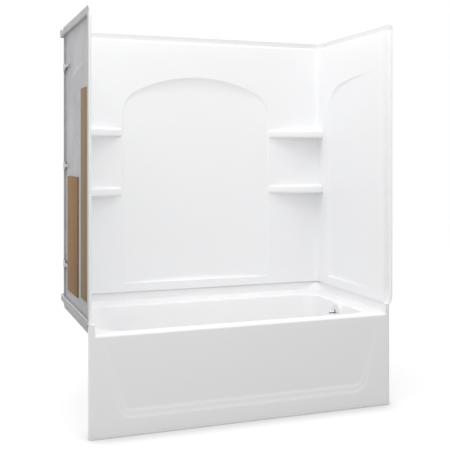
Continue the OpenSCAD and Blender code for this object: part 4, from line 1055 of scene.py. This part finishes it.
# Slip nuts: a turned body with grip ribs, repeated at the four hubs
NUT = [(26, -7), (26.8, -6.3), (26.8, 6.4), (25.8, 7.6), (24.4, 11.2), (23.4, 12), (19.5, 12), (19.5, 8.2),
       (23.15, 8.2), (23.15, -7), (26, -7)]
ribbed = Repeat("nut_ribs", {"Ribs": 20, "Ring": 27.2 * MM, "Rib depth": 4.0 * MM, "Rib width": 3.2 * MM,
                             "Rib length": 11.0 * MM})
size = ribbed.node("ShaderNodeCombineXYZ", {}, {
    axis: ribbed.given[f"Rib {way}"] for axis, way in (("X", "depth"), ("Y", "width"), ("Z", "length"))})
rib = ribbed.node("GeometryNodeMeshCube", {}, {"Size": size})
facing = ribbed.node("FunctionNodeAlignRotationToVector", {"axis": "X"},
                     {"Vector": ribbed.node("GeometryNodeInputPosition", {}, {})})
ribs = ribbed.ring("Ribs", "Ring", rib, facing)
whole = ribbed.node("GeometryNodeJoinGeometry", {}, {"Geometry": [ribbed.given["Geometry"], ribs]})
nut = ribbed.grow(mesh_piece("nut", [lathe(NUT, 60, upright(0, 0, 0))]), whole, FINISHES["waste_plastic"])
TEE_UP, TEE_DOWN, TEE_SIDE, ELBOW_DOWN = 41.0, 36.0, 44.0, 63.0   # from each centre to the end of its hub
LAP = 5.0                                                         # how far a nut reaches over its hub
nuts = []
for x, z, turn in ((PIPE_X, TEE_Z + TEE_UP - LAP, 0), (PIPE_X, TEE_Z - TEE_DOWN + LAP, 180),
                   (PIPE_X - TEE_SIDE + LAP, TEE_Z, -90), (PIPE_X, OVER_Z - ELBOW_DOWN + LAP, 180)):
    copy = add_object(f"nut_{len(nuts)}", nut.data.copy())
    place = Matrix.Translation(Vector((x, BASIN_Y, z)) * MM)
    copy.data.transform(place @ Matrix.Rotation(math.radians(turn), 4, "Y"))
    nuts.append(copy)
bpy.data.objects.remove(nut)
finish_piece(join("slip_nut_set", nuts), "unit", "slip_nuts")

# CAD pieces whose sharp edges are broken, and how wide, in mm
EDGES = {"left_tall_backer": 1.6, "left_short_backer": 1.6, "right_tall_backer": 1.6,
         "right_short_backer": 1.6, "left_joint_clips": 0.6, "right_joint_clips": 0.6,
         "floor_support_board": 1.6, "support_feet": 1.2}
for node, width in EDGES.items():
    piece = softened(node, width)
    coat(piece, TALL_WOOD if "tall" in node else FINISHES[SLOTS[node]])
    finish_piece(piece, "unit", node)


# Room, lamps and camera
def seen_directly(nodes):
    """1 for what the camera sees directly or in a glossy or clear surface, else 0."""
    ray = nodes.node("ShaderNodeLightPath", {}, {}, "Is Camera Ray")
    return ray.math("MAXIMUM", ray.part("Is Glossy Ray")).math("MAXIMUM", ray.part("Is Transmission Ray"))


def floor_finish(name, bounce, glow, catch):
    """White floor whose glow is darkened near the object by ambient occlusion, a painted contact shadow,
    while its diffuse part takes the object's real soft shadow; bounce is what it gives back.
    """
    material = bpy.data.materials.new(name)
    material.use_nodes = True
    material.node_tree.nodes.clear()
    f = Nodes(material.node_tree)
    # painted contact shadow: ambient occlusion darkens the floor's glow close to the object
    near = f.node("ShaderNodeAmbientOcclusion", {"samples": 16}, {"Distance": 0.16})
    light = f.node("ShaderNodeEmission", {}, {"Color": near, "Strength": glow})
    dull, soft = (f.node("ShaderNodeBsdfDiffuse", {}, {"Color": (c, c, c, 1)}) for c in (bounce, catch))
    shown = f.node("ShaderNodeAddShader", {}, {0: light, 1: soft})
    shown = f.node("ShaderNodeMixShader", {}, {0: seen_directly(f), 1: dull, 2: shown})
    f.end("ShaderNodeOutputMaterial", shown)
    return material


FLOOR_HALF = 9.0
floor_mesh = bpy.data.meshes.new("studio_floor")
floor_mesh.from_pydata([(x * FLOOR_HALF, y * FLOOR_HALF, 0) for x, y in ((-1, -1), (1, -1), (1, 1), (-1, 1))],
                       [], [(0, 1, 2, 3)])
floor_mesh.materials.append(floor_finish("studio_floor", 0.42, 0.72, 0.34))
floor = add_object("studio_floor", floor_mesh)

scene = bpy.context.scene
scene.world = bpy.data.worlds.new("studio")
scene.world.use_nodes = True
scene.world.node_tree.nodes.clear()
room = Nodes(scene.world.node_tree)
SKY = ((0.0, 1.2), (0.3, 0.5), (0.5, 0.4), (1.0, 1.4))   # height over the horizon, strength
ray_z = room.node("ShaderNodeTexCoord", {}, {}, "Generated")
ray_z = room.node("ShaderNodeSeparateXYZ", {}, {0: ray_z}, "Z")
shade_of_sky = room.node("ShaderNodeValToRGB", {"stops": [(h, (s, s, s)) for h, s in SKY]}, {0: ray_z})
sky = room.node("ShaderNodeBackground", {}, {"Color": shade_of_sky})
white = room.node("ShaderNodeBackground", {}, {"Color": (1, 1, 1, 1)})
shown = room.node("ShaderNodeMixShader", {}, {0: seen_directly(room), 1: sky, 2: white})
room.end("ShaderNodeOutputWorld", shown)


def lamp(name, size, power, place, target):
    """Round lamp in white, aimed at a target."""
    data = bpy.data.lights.new(name, "AREA")
    data.shape, data.size, data.energy = "DISK", size, power
    made = add_object(name, data)
    made.location = place
    made.rotation_euler = (Vector(target) - Vector(place)).to_track_quat("-Z", "Y").to_euler()


lamp("key", 2.0, 24.0, (-2.0, -0.8, 4.6), (0.6, 0.0, 1.2))
lamp("top", 1.6, 18.0, (0.1, -0.6, 3.9), (0.0, 0.1, 0.5))
lamp("inner", 1.4, 6.6, (-0.9, -1.4, 3.4), (0.74, 0.1, 1.2))
lamp("left", 2.0, 17.5, (-4.2, 0.3, 2.7), (-0.7, 0.0, 1.6))
lamp("front", 1.2, 8.0, (-0.7, -2.5, 2.3), (0.0, -0.4, 0.45))

# The camera was solved from the photograph, whose measures are in pixels
PHOTO_SIZE, FOCAL_LENGTH, HORIZON_ROW = 450.0, 810.99, 155.745
camera_data = bpy.data.cameras.new("camera")
camera = add_object("camera", camera_data)
scene.camera = camera
camera.location = (-1.4223, -3.9223, 1.2459)
camera.rotation_euler = (math.radians(90), 0.0, math.radians(-20.189))
camera_data.sensor_fit = "HORIZONTAL"
camera_data.sensor_width = 36.0
camera_data.lens = camera_data.sensor_width * FOCAL_LENGTH / PHOTO_SIZE
camera_data.shift_y = -(PHOTO_SIZE / 2 - HORIZON_ROW) / PHOTO_SIZE

scene.view_settings.view_transform = "Standard"
